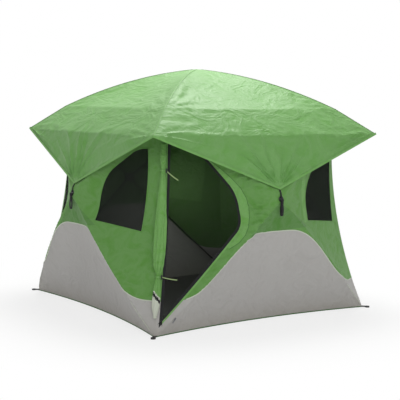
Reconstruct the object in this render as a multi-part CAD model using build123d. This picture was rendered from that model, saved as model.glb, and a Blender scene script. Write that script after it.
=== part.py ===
"""Pop-up hub tent with mesh door and windows and a rain fly.

Frame: origin on the ground at the middle of the floor, +Z up, the door wall faces -Y.
Each side wall and the roof is a fabric cone pushed out by a central hub and four sprung poles.
"""
from build123d import *
import os
from math import asin, atan2, cos, degrees, hypot, pi, sin

# body of the tent, outer faces of the fabric
floor_half = 925.0        # centre to floor edge line, at the corners
eave_half = 745.0         # centre to eave line, at the corners
eave_z = 1490.0           # height of the eaves
roof_z = 1782.0           # fabric on top of the roof hub
wall_hub_out = 1066.0     # centre to the fabric over a wall hub
wall_hub_z = 887.0
upright_bow = 64.0        # how far the upright corner edges curve inwards
floor_bow = 83.0          # how far the floor edges curve inwards
eave_bow = 12.0
pole_bulge = 38.0         # how far the fabric stands out along a pole
cloth = 1.5               # fabric thickness
floor_cloth = 2.0
side_steps = 8            # net points along each edge of a panel
ring_steps = (0.12, 0.3, 0.5, 0.72, 1.0)
hub_disc_r = 42.0         # flat fabric patch over a hub
neck_hole_r = 7.0

# rain fly, outer faces
fly_apex_z = 1799.0
fly_kink_half = 757.0     # where the fly bends over the upper corners
fly_kink_z = 1502.0
fly_tip_half = 971.0      # the brim's corner tips
fly_tip_z = 1322.0
fly_point_out = 1052.0    # lowest point of each flap, over the wall hub
fly_point_z = 955.0
fly_ridge_bow = 51.0
fly_sag = 36.0            # how far the middle of each facet hangs below its ridges
sag_scale = 6.75          # brings the sag's cubic run to a peak of one
fly_rows = 6
fly_columns = 4
flap_rows = 4
stay_r = 4.0
stay_start = 0.10         # share of the brim ridge where the stay begins
stay_end = 0.94

# lower panel, door and windows, as seen square on to a wall
bell_top_z = 656.0
bell_foot_z = 224.0
bell_flat_half = 130.0    # half-width of the flat top
bell_foot_half = 790.0
bell_points = 12
door_low_z = 60.0
door_top_z = 1300.0
door_top_x = -590.0
door_nose_low = (-268.0, 712.0)
door_nose_high = (-285.0, 930.0)
door_nose_low_r = 170.0
door_nose_high_r = 300.0
door_edge_inset = 16.0    # upright corner edge to the door opening
door_edge_points = 6
zip_width = 16.0
door_gap = 0.4
window_foot_in_z = 712.0  # window sill at its inner end
window_foot_out_z = 665.0
window_top_z = 1228.0
window_shoulder_z = 1000.0
window_crown_run = 300.0  # inner edge to where the sloping head meets the top
window_crown_r = 150.0
window_shoulder_r = 300.0
front_window = (315.0, 690.0)
side_window = (258.0, 622.0)
seam_gap = 0.3

# poles, hubs and corner fittings
pole_r = 5.5
wall_pole_bow = 40.0
roof_pole_bow = 50.0
tab_half = 4.0            # half the thickness of a pole's end tab
tab_r = 7.0               # round end of a hub tab
slot_tab_r = 9.5          # round end of a slotted tab
slot_half = 6.5           # half the slot's width, with room for the pole's spring
pin_r = 2.6
eye_clearance = 0.1
ear_clearance = 0.4
sleeve_r = 8.0
sleeve_length = 26.0
hub_tab_length = 20.0     # pin to sleeve at the hub end
slot_travel = 50.0        # free travel in the outer tab's slot
sleeve_wall = 4.0
rod_clearance = 0.2
hub_r = 36.0
hub_half = 11.0           # half the hub's thickness
hub_pin_ring = 26.0
hub_boss_r = 17.0
hub_pin_half = 10.5
cap_r = 20.0
cap_thick = 3.0
neck_r = 6.0
neck_depth = 9.0
bar_r = 4.3
bar_stand = 9.8           # cap face to the handle bar's axis
bar_drop = 9.0
lug_thick = 3.0
roof_cap_fall = 2.4       # how far the roof cap's tip is chamfered
stud_r = 3.5
stud_rise = 10.0          # stud above the hub's middle
stud_length = 8.0
upper_core = (722.0, 1472.0)
lower_core = (900.0, 20.0)
core_r = 13.0
core_to_pin = 82.0
ear_half = 9.0
ear_thick = 3.0
ear_end = 10.0
foot_reach = 52.0         # core to stake hole, along each axis
foot_r = 17.0
foot_thick = 9.0
foot_bar_half = 12.0
foot_bar_z = 2.6
stake_hole_r = 6.0

# small goods
handle_width = 20.0
handle_length = 104.0
handle_clearance = 0.2
handle_thick = 2.6
ring_r = 7.0
ring_clearance = 0.6
ring_thick = 3.0
strap_width = 14.0
strap_thick = 2.0
strap_lap = 24.0
roll_radii = (12.0, 30.0, 27.0, 16.0, 38.0, 46.0, 47.0, 46.0, 39.0, 32.0, 24.0, 15.0, 24.0, 18.0)
roll_depth = 0.62         # depth of the rolled flap as a share of its width
roll_low_z = 120.0
roll_high_z = 1262.0
roll_stand = 1.9
roll_shift = 9.0          # how far the roll sits round the corner from the door
tie_rings = (3, 11)        # which of the roll's sections are tied
tie_thick = 2.0
tie_height = 12.0
tie_clearance = 3.6
toggle_r = 5.0
toggle_length = 34.0
slider_size = (16.0, 11.0, 6.0)
slider_gap = 2.0
slider_start = (-790.0, 118.0)
slider_end = (-322.0, 652.0)
puller_length = 34.0
puller_width = 8.0
puller_thick = 2.0

walls = {"front": 0.0, "right": 90.0, "back": 180.0, "left": 270.0}
gap = 0.3                 # running gap between parts that only touch in use


def lerp(a, b, t):
    return a + (b - a) * t


def corner_reach(z):
    """Centre to the upright corner edge, at height z."""
    t = z / eave_z
    return lerp(floor_half, eave_half, t) - upright_bow * 4 * t * (1 - t)


def unit(v):
    return v.normalized()


def spin(v, turns):
    """A point turned about the tent's middle by quarter turns."""
    x, y = v[0], v[1]
    for _ in range(turns):
        x, y = -y, x
    return (x, y, v[2])


# fabric skins: triangles between points, each with its twin on the inner face

def skin(triangles, inner):
    """A closed thin solid from outer triangles and a map from outer to inner points."""
    faces = []
    edges = {}

    def add(*corners):
        faces.append(Face(Wire.make_polygon([Vector(*c) for c in corners], close=True)))

    for a, b, c in triangles:
        add(a, b, c)
        add(inner[a], inner[c], inner[b])
        for edge in ((a, b), (b, c), (c, a)):
            edges[edge] = True
    for a, b in edges:
        if (b, a) not in edges:
            add(b, a, inner[a])
            add(b, inner[a], inner[b])
    return Solid(Shell(faces))


def panel_net(hub, normal, rim, bulge):
    """Rings from a hub's neck hole to a panel's rim. rim holds (point, inner point, weight)."""
    inner = {}
    rings = []

    def keep(point, twin):
        key = (point.X, point.Y, point.Z)
        inner[key] = (twin.X, twin.Y, twin.Z)
        return key

    for radius in (neck_hole_r, hub_disc_r):
        ring = []
        for point, _, _ in rim:
            across = point - hub
            across = unit(across - normal * across.dot(normal))
            at = hub + across * radius
            ring.append(keep(at, at - normal * cloth))
        rings.append(ring)
    for share in ring_steps:
        ring = []
        for (point, twin, weight), start in zip(rim, rings[1]):
            if share == 1.0:
                ring.append(keep(point, twin))
                continue
            at = Vector(*start)
            at = at + (point - at) * share
            at = at + normal * (bulge * weight * 4 * share * (1 - share))
            ring.append(keep(at, at - normal * cloth))
        rings.append(ring)
    triangles = []
    for near, far in zip(rings, rings[1:]):
        for i in range(len(near)):
            j = (i + 1) % len(near)
            triangles.append((near[i], far[i], far[j]))
            triangles.append((near[i], far[j], near[j]))
    return triangles, inner


def edge_shares():
    return [-1 + 2 * i / side_steps for i in range(side_steps)]


def wall_rim():
    """The door wall's rim, counter-clockwise seen from outside: floor, corner, eave, corner."""
    rim = []
    tuck_floor = (floor_half - cloth) / floor_half
    tuck_eave = (eave_half - cloth) / eave_half
    for t in edge_shares():
        out = floor_half - floor_bow * (1 - t * t)
        x = floor_half * t
        rim.append((Vector(x, -out, 0), Vector(x * tuck_floor, cloth - out, 0), t * t))
    for t in edge_shares():
        z = eave_z * (t + 1) / 2
        out = corner_reach(z)
        if z > 0:
            rim.append((Vector(out, -out, z), Vector(out - cloth, cloth - out, z), t * t))
        else:
            rim.append((Vector(out, -out, 0), Vector(out - cloth, cloth - out, 0), 1.0))
    for x, out, weight in eave_points():
        twin = Vector(x * tuck_eave, cloth - out, eave_z - cloth)
        rim.append((Vector(x, -out, eave_z), twin, weight))
    for t in edge_shares():
        z = eave_z * (1 - t) / 2
        out = corner_reach(z)
        drop = cloth if z == eave_z else 0
        rim.append((Vector(-out, -out, z), Vector(cloth - out, cloth - out, z - drop), t * t))
    return rim


def eave_points():
    """The eave line from its right-hand end, without its left-hand end."""
    return [(-eave_half * t, eave_half - eave_bow * (1 - t * t), t * t) for t in edge_shares()]


def roof_rim():
    """The roof's rim, counter-clockwise seen from above."""
    tuck = (eave_half - cloth) / eave_half
    rim = []
    for turns in range(4):
        for x, out, weight in reversed_eave():
            point = spin((x, -out, eave_z), turns)
            twin = spin((x * tuck, cloth - out, eave_z - cloth), turns)
            rim.append((Vector(*point), Vector(*twin), weight))
    return rim


def reversed_eave():
    return [(-x, out, weight) for x, out, weight in eave_points()]


def wall_lean():
    """Lean of a wall's pole plane from upright, in radians."""
    return atan2(lower_core[0] - upper_core[0], upper_core[1] - lower_core[1])


wall_normal = Vector(0, -cos(wall_lean()), sin(wall_lean()))
wall_hub_skin = Vector(0, -wall_hub_out, wall_hub_z)
roof_hub_skin = Vector(0, 0, roof_z)
roof_normal = Vector(0, 0, 1)


def hub_middle(skin_point, normal):
    """Middle of the hub whose outer face backs the fabric at skin_point."""
    return skin_point - normal * (cloth + gap + hub_half)


def wall_surface(x, z):
    """Point on the outer face of the door wall's fabric."""
    triangles, _ = panel_net(wall_hub_skin, wall_normal, wall_rim(), pole_bulge)
    for a, b, c in triangles:
        area = (b[0] - a[0]) * (c[2] - a[2]) - (c[0] - a[0]) * (b[2] - a[2])
        if abs(area) < 1e-9:
            continue
        u = ((x - a[0]) * (c[2] - a[2]) - (c[0] - a[0]) * (z - a[2])) / area
        v = ((b[0] - a[0]) * (z - a[2]) - (x - a[0]) * (b[2] - a[2])) / area
        if u >= 0 and v >= 0 and u + v <= 1:
            return Vector(x, a[1] + u * (b[1] - a[1]) + v * (c[1] - a[1]), z)
    return Vector(x, -wall_hub_out, z)


# cutting shapes for the door wall, as prisms through it along Y

def prism(face):
    """A cutter from an outline drawn on the XZ plane."""
    depth = wall_hub_out + floor_half
    return extrude(Plane.XZ.offset(eave_half * 0.8) * face, amount=depth)


def outline(points, rounds=()):
    """A face through points, with (corner index, radius) rounded."""
    with BuildSketch() as sketch:
        with BuildLine() as line:
            Polyline(*points, close=True)
        make_face()
        for index, radius in rounds:
            x, z = points[index]
            corner = sketch.vertices().sort_by_distance((x, z, 0))[0]
            fillet(corner, radius)
    return sketch.sketch


def bell_outline():
    """The lower panel's outline: flat on top, falling to its feet along a cosine."""
    run = bell_foot_half - bell_flat_half
    side = []
    for i in range(bell_points + 1):
        t = i / bell_points
        z = lerp(bell_foot_z, bell_top_z, (1 + cos(pi * t)) / 2)
        side.append((bell_flat_half + run * t, z))
    side.append((floor_half * 1.1, bell_foot_z))
    side.append((floor_half * 1.1, -eave_half))
    left = [(-x, z) for x, z in side]
    return outline(left[::-1] + side)


def door_edge_side(extra=0.0):
    """The door's hinge edge, from the bottom up, extra further from the corner edge."""
    points = []
    for i in range(door_edge_points + 1):
        z = lerp(door_low_z, door_top_z, i / door_edge_points)
        points.append((door_edge_inset + extra - corner_reach(z), z))
    return points


def door_outline(inset=0.0):
    points = door_edge_side() + [(door_top_x, door_top_z), door_nose_high, door_nose_low]
    nose = len(points) - 1
    face = outline(points, ((nose, door_nose_low_r), (nose - 1, door_nose_high_r)))
    if inset:
        return offset(face, amount=-inset, kind=Kind.INTERSECTION)
    return face


def door_edge_zone():
    """The strip along the hinge edge that stays sewn."""
    near = door_edge_side(-door_edge_inset)
    far = door_edge_side(zip_width)
    low = [(x, door_low_z - zip_width) for x, _ in (near[0], far[0])]
    high = [(x, door_top_z + zip_width) for x, _ in (far[-1], near[-1])]
    return outline(near[::-1] + low + far + high)


def window_outline(inner_x, outer_x, inset=0.0):
    points = [
        (inner_x, window_foot_in_z), (outer_x, window_foot_out_z), (outer_x, window_top_z),
        (inner_x + window_crown_run, window_top_z), (inner_x, window_shoulder_z),
    ]
    face = outline(points, ((3, window_crown_r), (4, window_shoulder_r)))
    if inset:
        return offset(face, amount=-inset, kind=Kind.INTERSECTION)
    return face


def foot_notch():
    """Room in the wall's lower corners for the bars of the feet."""
    low = foot_bar_z - gap
    high = foot_thick + gap
    reach = 2 * foot_reach
    cutters = []
    for side in (-1, 1):
        at = Location((side * lower_core[0], -lower_core[0], (low + high) / 2), (0, 0, -side * 45))
        cutters.append(at * Box(2 * reach, 2 * (foot_bar_half + gap), high - low))
    return cutters


def mirrored(shape):
    return shape.mirror(Plane.YZ)


def cut_all(shape, cutters):
    for cutter in cutters:
        shape = shape - cutter
    return shape


def make_wall(blank, bell, with_door):
    """The pieces of one wall in the door wall's place: upper, lower, windows and door parts."""
    pieces = {}
    spans = front_window if with_door else side_window
    holes = [prism(window_outline(*spans))]
    panes = [prism(window_outline(*spans, seam_gap))]
    if with_door:
        holes.append(prism(door_outline()))
    else:
        holes.append(mirrored(holes[0]))
        panes.append(mirrored(panes[0]))
    holes += foot_notch()
    body = cut_all(blank, holes)
    pieces["upper"] = body - bell
    pieces["lower"] = body & bell
    pieces["windows"] = [blank & pane for pane in panes]
    if with_door:
        band = prism(door_outline()) - prism(door_outline(zip_width))
        zone = prism(door_edge_zone())
        pieces["zip"] = blank & (band - zone)
        pieces["edge"] = blank & (band & zone)
        pieces["door"] = blank & prism(door_outline(zip_width + door_gap))
    return pieces


def make_floor():
    points = []
    for turns in range(4):
        for point, twin, _ in wall_rim()[:side_steps]:
            points.append(spin((twin.X, twin.Y, 0), turns)[:2])
    face = offset(outline(points), amount=-gap, kind=Kind.INTERSECTION)
    return extrude(face, amount=floor_cloth)


def make_fly():
    """The rain fly: four vaulted facets, a sloping brim and a pointed flap on each side."""
    def row(left, right):
        return [
            tuple(lerp(p, q, i / fly_columns) for p, q in zip(left, right))
            for i in range(fly_columns + 1)
        ]

    def ridge(half, z, sag=0.0):
        points = []
        for x, y, _ in row((-half, -half, z), (half, -half, z)):
            points.append((x, y, z - sag * (1 - (x / half) ** 2)))
        return points

    side = []
    for i in range(1, fly_rows + 1):
        t = i / fly_rows
        z = lerp(fly_apex_z, fly_kink_z, t) + fly_ridge_bow * 4 * t * (1 - t)
        # the sag is deepest two thirds of the way down the facet
        side.append(ridge(fly_kink_half * t, z, fly_sag * sag_scale * t * t * (1 - t)))
    tips = ridge(fly_tip_half, fly_tip_z)
    side.append(tips)
    point = (0.0, -fly_point_out, fly_point_z)
    for i in range(1, flap_rows):
        t = i / flap_rows
        ends = [tuple(lerp(p, q, t) for p, q in zip(tip, point)) for tip in (tips[0], tips[-1])]
        side.append(row(*ends))
    apex = (0.0, 0.0, fly_apex_z)
    triangles = []
    for turns in range(4):
        rows = [[tuple(round(c, 6) + 0.0 for c in spin(p, turns)) for p in r] for r in side]
        for i in range(fly_columns):
            triangles.append((apex, rows[0][i], rows[0][i + 1]))
        for near, far in zip(rows, rows[1:]):
            for i in range(fly_columns):
                triangles.append((near[i], far[i], far[i + 1]))
                triangles.append((near[i], far[i + 1], near[i + 1]))
        end = tuple(round(c, 6) + 0.0 for c in spin(point, turns))
        for i in range(fly_columns):
            triangles.append((rows[-1][i], end, rows[-1][i + 1]))
    normals = {}
    for a, b, c in triangles:
        across = (Vector(*b) - Vector(*a)).cross(Vector(*c) - Vector(*a))
        for corner in (a, b, c):
            normals[corner] = normals.get(corner, Vector(0, 0, 0)) + across
    inner = {}
    for corner, across in normals.items():
        twin = Vector(*corner) - unit(across) * cloth
        inner[corner] = (twin.X, twin.Y, twin.Z)
    return skin(triangles, inner)


def make_stays():
    """Short rods under the brim's corner ridges, in pockets of the fly."""
    start = Vector(fly_kink_half, -fly_kink_half, fly_kink_z)
    run = Vector(fly_tip_half, -fly_tip_half, fly_tip_z) - start
    down = unit(Vector(run.Z, -run.Z, -2 * run.X))
    facing = unit(Vector(0, fly_kink_z - fly_tip_z, fly_kink_half - fly_tip_half))
    drop = (cloth + gap + stay_r) / abs(down.dot(facing))
    low = start + run * stay_start + down * drop
    axis = Plane(origin=low, z_dir=unit(run))
    rod = extrude(axis * Circle(stay_r), amount=run.length * (stay_end - stay_start))
    return four(rod)


# poles and what holds their ends

def pole_frame(hub, normal, core):
    """Hub pin, outer pin, direction along the pole plane and hinge axis of one pole."""
    across = core - hub
    along = unit(across - normal * across.dot(normal))
    hinge = unit(along.cross(normal))
    return {
        "inner": hub + along * hub_pin_ring,
        "outer": core - along * core_to_pin,
        "along": along,
        "hinge": hinge,
        "normal": normal,
        "depth": (core - hub).dot(normal),
    }


def make_pole(frame, bow):
    """A bowed rod with an eyed tab at the hub end and a slotted tab at the corner end."""
    chord = frame["outer"] - frame["inner"]
    length = chord.length
    # the local Y of this plane points out of the tent
    place = Plane(origin=frame["inner"], x_dir=unit(chord), z_dir=frame["hinge"])
    arc = ThreePointArc((0, 0), (length / 2, bow), (length, 0))
    radius = (length * length / 4 + bow * bow) / (2 * bow)
    lean = degrees(asin(length / 2 / radius))
    hub_run = hub_tab_length + sleeve_wall
    slot_run = slot_travel + slot_tab_r + sleeve_wall
    corner_run = slot_run + sleeve_wall
    start = arc.position_at(hub_run / arc.length)
    end = arc.position_at(1 - corner_run / arc.length)
    path = ThreePointArc(start, arc.position_at(0.5), end)
    rod = sweep(Plane(origin=path @ 0, z_dir=path % 0) * Circle(pole_r), path=path)

    def tab(run, travel):
        """A flat end along the chord with an eye or a slot, and a sleeve that follows the rod."""
        end_r = slot_tab_r if travel else tab_r
        middle = run + sleeve_wall + sleeve_length / 2
        rise = lean - degrees(middle / 2 / radius)
        follow = lean - degrees(middle / radius)
        reach = run + sleeve_length / 2
        plate = Pos(reach / 2, 0, 0) * Box(reach, 2 * end_r, 2 * tab_half)
        plate += Cylinder(end_r, 2 * tab_half)
        sleeve = Rot(0, 0, rise) * Pos(middle, 0, 0) * Rot(0, 0, follow - rise) * Rot(0, 90, 0)
        plate += sleeve * Pos(0, 0, -sleeve_wall / 2) * Cylinder(sleeve_r, sleeve_length + sleeve_wall)
        plate -= sleeve * Cylinder(pole_r + rod_clearance, sleeve_length)
        if travel:
            slot = Pos(travel / 2, 0, 0) * SlotCenterToCenter(travel, 2 * slot_half)
            plate -= extrude(slot, amount=tab_half, both=True)
        else:
            plate -= Cylinder(pin_r + eye_clearance, 2 * tab_half)
        return plate

    hub_tab = tab(hub_tab_length, 0)
    corner_tab = Pos(length, 0, 0) * Rot(0, 180, 0) * tab(slot_run, slot_travel)
    return [place.location * piece for piece in (rod, hub_tab, corner_tab)]


def make_hub(hub, normal, frames):
    """A hub's slotted body, and its four pins."""
    body = Cylinder(hub_r, 2 * hub_half)
    body -= Pos(0, 0, hub_half) * Cylinder(neck_r + eye_clearance, 2 * neck_depth)
    place = Plane(origin=hub, x_dir=(1, 0, 0), z_dir=normal)
    pins = []
    for frame in frames:
        local = place.to_local_coords(frame["inner"])
        turn = Rot(0, 0, degrees(atan2(local.Y, local.X)))
        reach = hub_r - hub_boss_r
        slot = Box(2 * reach, 2 * (tab_half + ear_clearance), 3 * hub_half)
        body -= turn * Pos(hub_boss_r + reach, 0, 0) * slot
        at = turn * Pos(hub_pin_ring, 0, 0) * Rot(90, 0, 0)
        body -= at * Cylinder(pin_r + eye_clearance / 2, 2 * (hub_pin_half + gap))
        pins.append(place.location * at * Cylinder(pin_r, 2 * hub_pin_half))
    return place.location * body, pins


def cap_base():
    """Height of a cap's underside over the hub's middle."""
    return hub_half + gap + cloth + gap


def make_wall_cap():
    """The outer cap of a wall hub: neck, disc, handle bar on two lugs and a stud for the fly."""
    base = cap_base()
    top = base + cap_thick
    neck_low = hub_half - neck_depth + gap
    cap = Pos(0, 0, (neck_low + top) / 2) * Cylinder(neck_r, top - neck_low)
    cap += Pos(0, 0, base + cap_thick / 2) * Cylinder(cap_r, cap_thick)
    lug_in = handle_width / 2 + ear_clearance
    bar_half = lug_in + lug_thick
    bar = Pos(0, -bar_drop, top + bar_stand) * Rot(0, 90, 0)
    for side in (-1, 1):
        at = Pos(side * (lug_in + lug_thick / 2), -bar_drop, top + bar_stand / 2 - cap_thick / 2)
        cap += at * Box(lug_thick, 2 * bar_r, bar_stand + cap_thick)
    cap += bar * Cylinder(bar_r, 2 * bar_half)
    cap += Pos(0, stud_rise, top + stud_length / 2) * Cylinder(stud_r, stud_length)
    return hub_plane().location * cap


def hub_plane():
    hub = hub_middle(wall_hub_skin, wall_normal)
    return Plane(origin=hub, x_dir=(1, 0, 0), z_dir=wall_normal)


def make_roof_cap():
    """The roof hub's cap, domed up under the fly."""
    base = cap_base()
    hub = hub_middle(roof_hub_skin, roof_normal)
    top = fly_apex_z - cloth - gap - hub.Z
    neck_low = hub_half - neck_depth + gap
    cap = Pos(0, 0, (neck_low + base) / 2) * Cylinder(neck_r, base - neck_low)
    cap += Pos(0, 0, base + cap_thick / 2) * Cylinder(cap_r, cap_thick)
    cap += Pos(0, 0, (base + top - roof_cap_fall) / 2) * Cylinder(neck_r, top - roof_cap_fall - base)
    cap += Pos(0, 0, top - roof_cap_fall / 2) * Cone(neck_r, neck_r / 4, roof_cap_fall)
    return Pos(hub.X, hub.Y, hub.Z) * cap


def bar_axis():
    """A point on the door wall's handle bar axis, which runs along X."""
    out = cap_base() + cap_thick + bar_stand
    return hub_plane().from_local_coords(Vector(0, -bar_drop, out))


def make_handle():
    """A webbing loop that hangs from the bar."""
    inner_r = bar_r + handle_clearance
    outer = SlotCenterToCenter(handle_length, 2 * (inner_r + handle_thick))
    hole = SlotCenterToCenter(handle_length, 2 * inner_r)
    loop = extrude(outer - hole, amount=handle_width / 2, both=True)
    axis = bar_axis()
    drop = Pos(0, axis.Y, axis.Z - handle_length / 2)
    return drop * Rot(0, 90, 0) * loop


def ribbon(points, thick, width):
    """A flat strap along points in the YZ plane, thick on its left side."""
    left = []
    for i, (y, z) in enumerate(points):
        before = points[max(i - 1, 0)]
        after = points[min(i + 1, len(points) - 1)]
        run = hypot(after[0] - before[0], after[1] - before[1])
        left.append((y - thick * (after[1] - before[1]) / run, z + thick * (after[0] - before[0]) / run))
    face = Plane.YZ * outline(points + left[::-1])
    return extrude(face, amount=width / 2, both=True)


def make_fly_strap():
    """The strap from a flap's point to the ring on the hub's stud."""
    out = cap_base() + cap_thick + gap
    plane = hub_plane()
    inner_r = stud_r + ring_clearance
    ring = Pos(0, stud_rise, out + ring_thick / 2) * (
        Cylinder(ring_r, ring_thick) - Cylinder(inner_r, ring_thick)
    )
    ring = plane.location * ring
    lift = (ring_r + inner_r) / 2
    foot = plane.from_local_coords(Vector(0, stud_rise + lift, out + gap))
    brow = plane.from_local_coords(Vector(0, cap_r + strap_thick, out + gap))
    patch_edge = plane.from_local_coords(Vector(0, hub_disc_r + strap_thick, cap_base() + gap))
    flap = unit(Vector(0, fly_point_out - fly_tip_half, fly_tip_z - fly_point_z))
    facing = Vector(0, -flap.Z, flap.Y)
    point = Vector(0, -fly_point_out, fly_point_z) + facing * gap
    low = point - flap * gap * 4
    top = point + flap * strap_lap
    route = [(point.Y, point.Z) for point in (foot, brow, patch_edge, low, top)]
    strap = ribbon(route, strap_thick, strap_width)
    return ring + strap


def make_corner(core, frames):
    """Ears and core that hold the outer ends of the poles at one corner, and their pins."""
    fitting = Pos(core.X, core.Y, core.Z) * Cylinder(core_r, 2 * core_r)
    pins = []
    inside = tab_half + ear_clearance
    for frame in frames:
        place = Plane(origin=frame["outer"], x_dir=frame["along"], z_dir=frame["hinge"])
        length = core_to_pin + ear_end
        for side in (-1, 1):
            ear = Pos(length / 2 - ear_end, 0, side * (inside + ear_thick / 2))
            fitting += place.location * ear * Box(length, 2 * ear_half, ear_thick)
        hole = Cylinder(pin_r + eye_clearance / 2, 2 * (inside + ear_thick))
        fitting -= place.location * hole
        pins.append(place.location * Cylinder(pin_r, 2 * (inside + ear_thick)))
    return fitting, pins


def make_foot(core, frames):
    """A lower corner: the pole holder inside and the stake eye outside, joined by a bar."""
    fitting, pins = make_corner(core, frames)
    reach = foot_reach * 2 ** 0.5
    turn = Location((core.X, core.Y, 0), (0, 0, degrees(atan2(core.Y, core.X))))
    bar_z = (foot_bar_z + foot_thick) / 2
    bar = Pos(reach / 2, 0, bar_z) * Box(reach, 2 * foot_bar_half, foot_thick - foot_bar_z)
    root_height = core.Z - foot_bar_z
    root = Pos(0, 0, foot_bar_z + root_height / 2) * Cylinder(core_r * 0.7, root_height)
    eye = Pos(reach, 0, foot_thick / 2) * Cylinder(foot_r, foot_thick)
    fitting += turn * (bar + root + eye)
    fitting -= turn * Pos(reach, 0, foot_thick / 2) * Cylinder(stake_hole_r, 2 * foot_thick)
    return fitting, pins


# door furniture

def roll_line(share):
    """The rolled door flap's axis beside the corner edge."""
    z = lerp(roll_low_z, roll_high_z, share)
    out = corner_reach(z)
    at = int(share * (len(roll_radii) - 1))
    top = min(at + 1, len(roll_radii) - 1)
    part = share * (len(roll_radii) - 1) - at
    radius = lerp(roll_radii[at], roll_radii[top], part)
    stand = roll_depth * radius + roll_stand
    lean = 2 ** -0.5
    return Vector(-out - (stand + roll_shift) * lean, -out - (stand - roll_shift) * lean, z), radius


def roll_section(centre, radius, grow=0.0):
    """An oval across the flap, long along the front-left corner's diagonal face."""
    place = Plane(origin=centre, x_dir=(1, -1, 0), z_dir=(0, 0, 1))
    return place * Ellipse(radius + grow, radius * roll_depth + grow)


def make_roll():
    """The outer door flap, bunched up and tied beside the upright corner edge."""
    last = len(roll_radii) - 1
    sections = [roll_section(*roll_line(i / last)) for i in range(last + 1)]
    return loft(sections, ruled=True)


def make_ties():
    """Two straps round the rolled flap, each with its toggle."""
    ties = []
    for ring in tie_rings:
        centre, radius = roll_line(ring / (len(roll_radii) - 1))
        low = centre - Vector(0, 0, tie_height / 2)
        bore = roll_section(low, radius, tie_clearance)
        band = roll_section(low, radius, tie_clearance + tie_thick) - bore
        tie = extrude(band, amount=tie_height)
        # the strap's ends stop at the upright corner edge, where they are sewn
        reach = corner_reach(low.Z) * 2 ** 0.5 + roll_stand
        wall_side = Location((0, 0, low.Z), (0, 0, -135)) * Pos(reach - floor_half, 0, 0)
        tie -= wall_side * Box(2 * floor_half, floor_half, 4 * tie_height)
        ties.append(tie)
        out = radius + tie_clearance + tie_thick + toggle_r
        at = centre + unit(Vector(1, -1, 0)) * (out + gap)
        toggle = Plane(origin=at, z_dir=(0, 0, 1)).location
        ties.append(toggle * Cylinder(toggle_r, toggle_length))
    return ties


def slider_track():
    """Start and end of the zip sliders' straight run, on the fabric's outer face."""
    return wall_surface(*slider_start), wall_surface(*slider_end)


def make_slider():
    """A zip slider with its puller, at the foot of the door."""
    start, end = slider_track()
    along = unit(end - start)
    beside = wall_surface(slider_start[0] + slider_size[0], slider_start[1])
    facing = unit((beside - start).cross(along))
    length, width, height = slider_size
    place = Plane(origin=start + facing * slider_gap, x_dir=along, z_dir=facing)
    body = Pos(0, 0, height / 2) * Box(length, width, height)
    arch = Pos(0, 0, height) * Rot(90, 0, 0) * Cylinder(height / 2, puller_width / 2)
    puller = Pos(-puller_length / 2, 0, height + puller_thick)
    tab = puller * Box(puller_length, puller_width, puller_thick)
    return place.location * (body + arch + tab)


def four(shape):
    """A shape and its copies at the other three sides or corners."""
    return [shape.rotate(Axis.Z, angle) for angle in walls.values()]


def node(shapes):
    """One node from one or more separate solids."""
    solids = []
    for shape in shapes if isinstance(shapes, (list, tuple)) else [shapes]:
        solids += shape.solids()
    return solids[0] if len(solids) == 1 else Compound(children=solids)


def wall_cores():
    """Pole ends of the door wall: name, core point."""
    up, up_z = upper_core
    low, low_z = lower_core
    return {
        "lower_right": Vector(low, -low, low_z),
        "upper_right": Vector(up, -up, up_z),
        "upper_left": Vector(-up, -up, up_z),
        "lower_left": Vector(-low, -low, low_z),
    }


def frames_of(hub_name):
    """The four poles of one hub, in their own place."""
    if hub_name == "roof":
        up, up_z = upper_core
        hub = hub_middle(roof_hub_skin, roof_normal)
        ends = {}
        for turns, corner in enumerate(("front_right", "back_right", "back_left", "front_left")):
            ends[corner] = Vector(*spin((up, -up, up_z), turns))
        return {name: pole_frame(hub, roof_normal, core) for name, core in ends.items()}
    turns = list(walls).index(hub_name)
    hub = turned(hub_middle(wall_hub_skin, wall_normal), turns)
    normal = turned(wall_normal, turns)
    return {
        name: pole_frame(hub, normal, turned(core, turns)) for name, core in wall_cores().items()
    }


def turned(vector, turns):
    return Vector(*spin((vector.X, vector.Y, vector.Z), turns))


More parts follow.
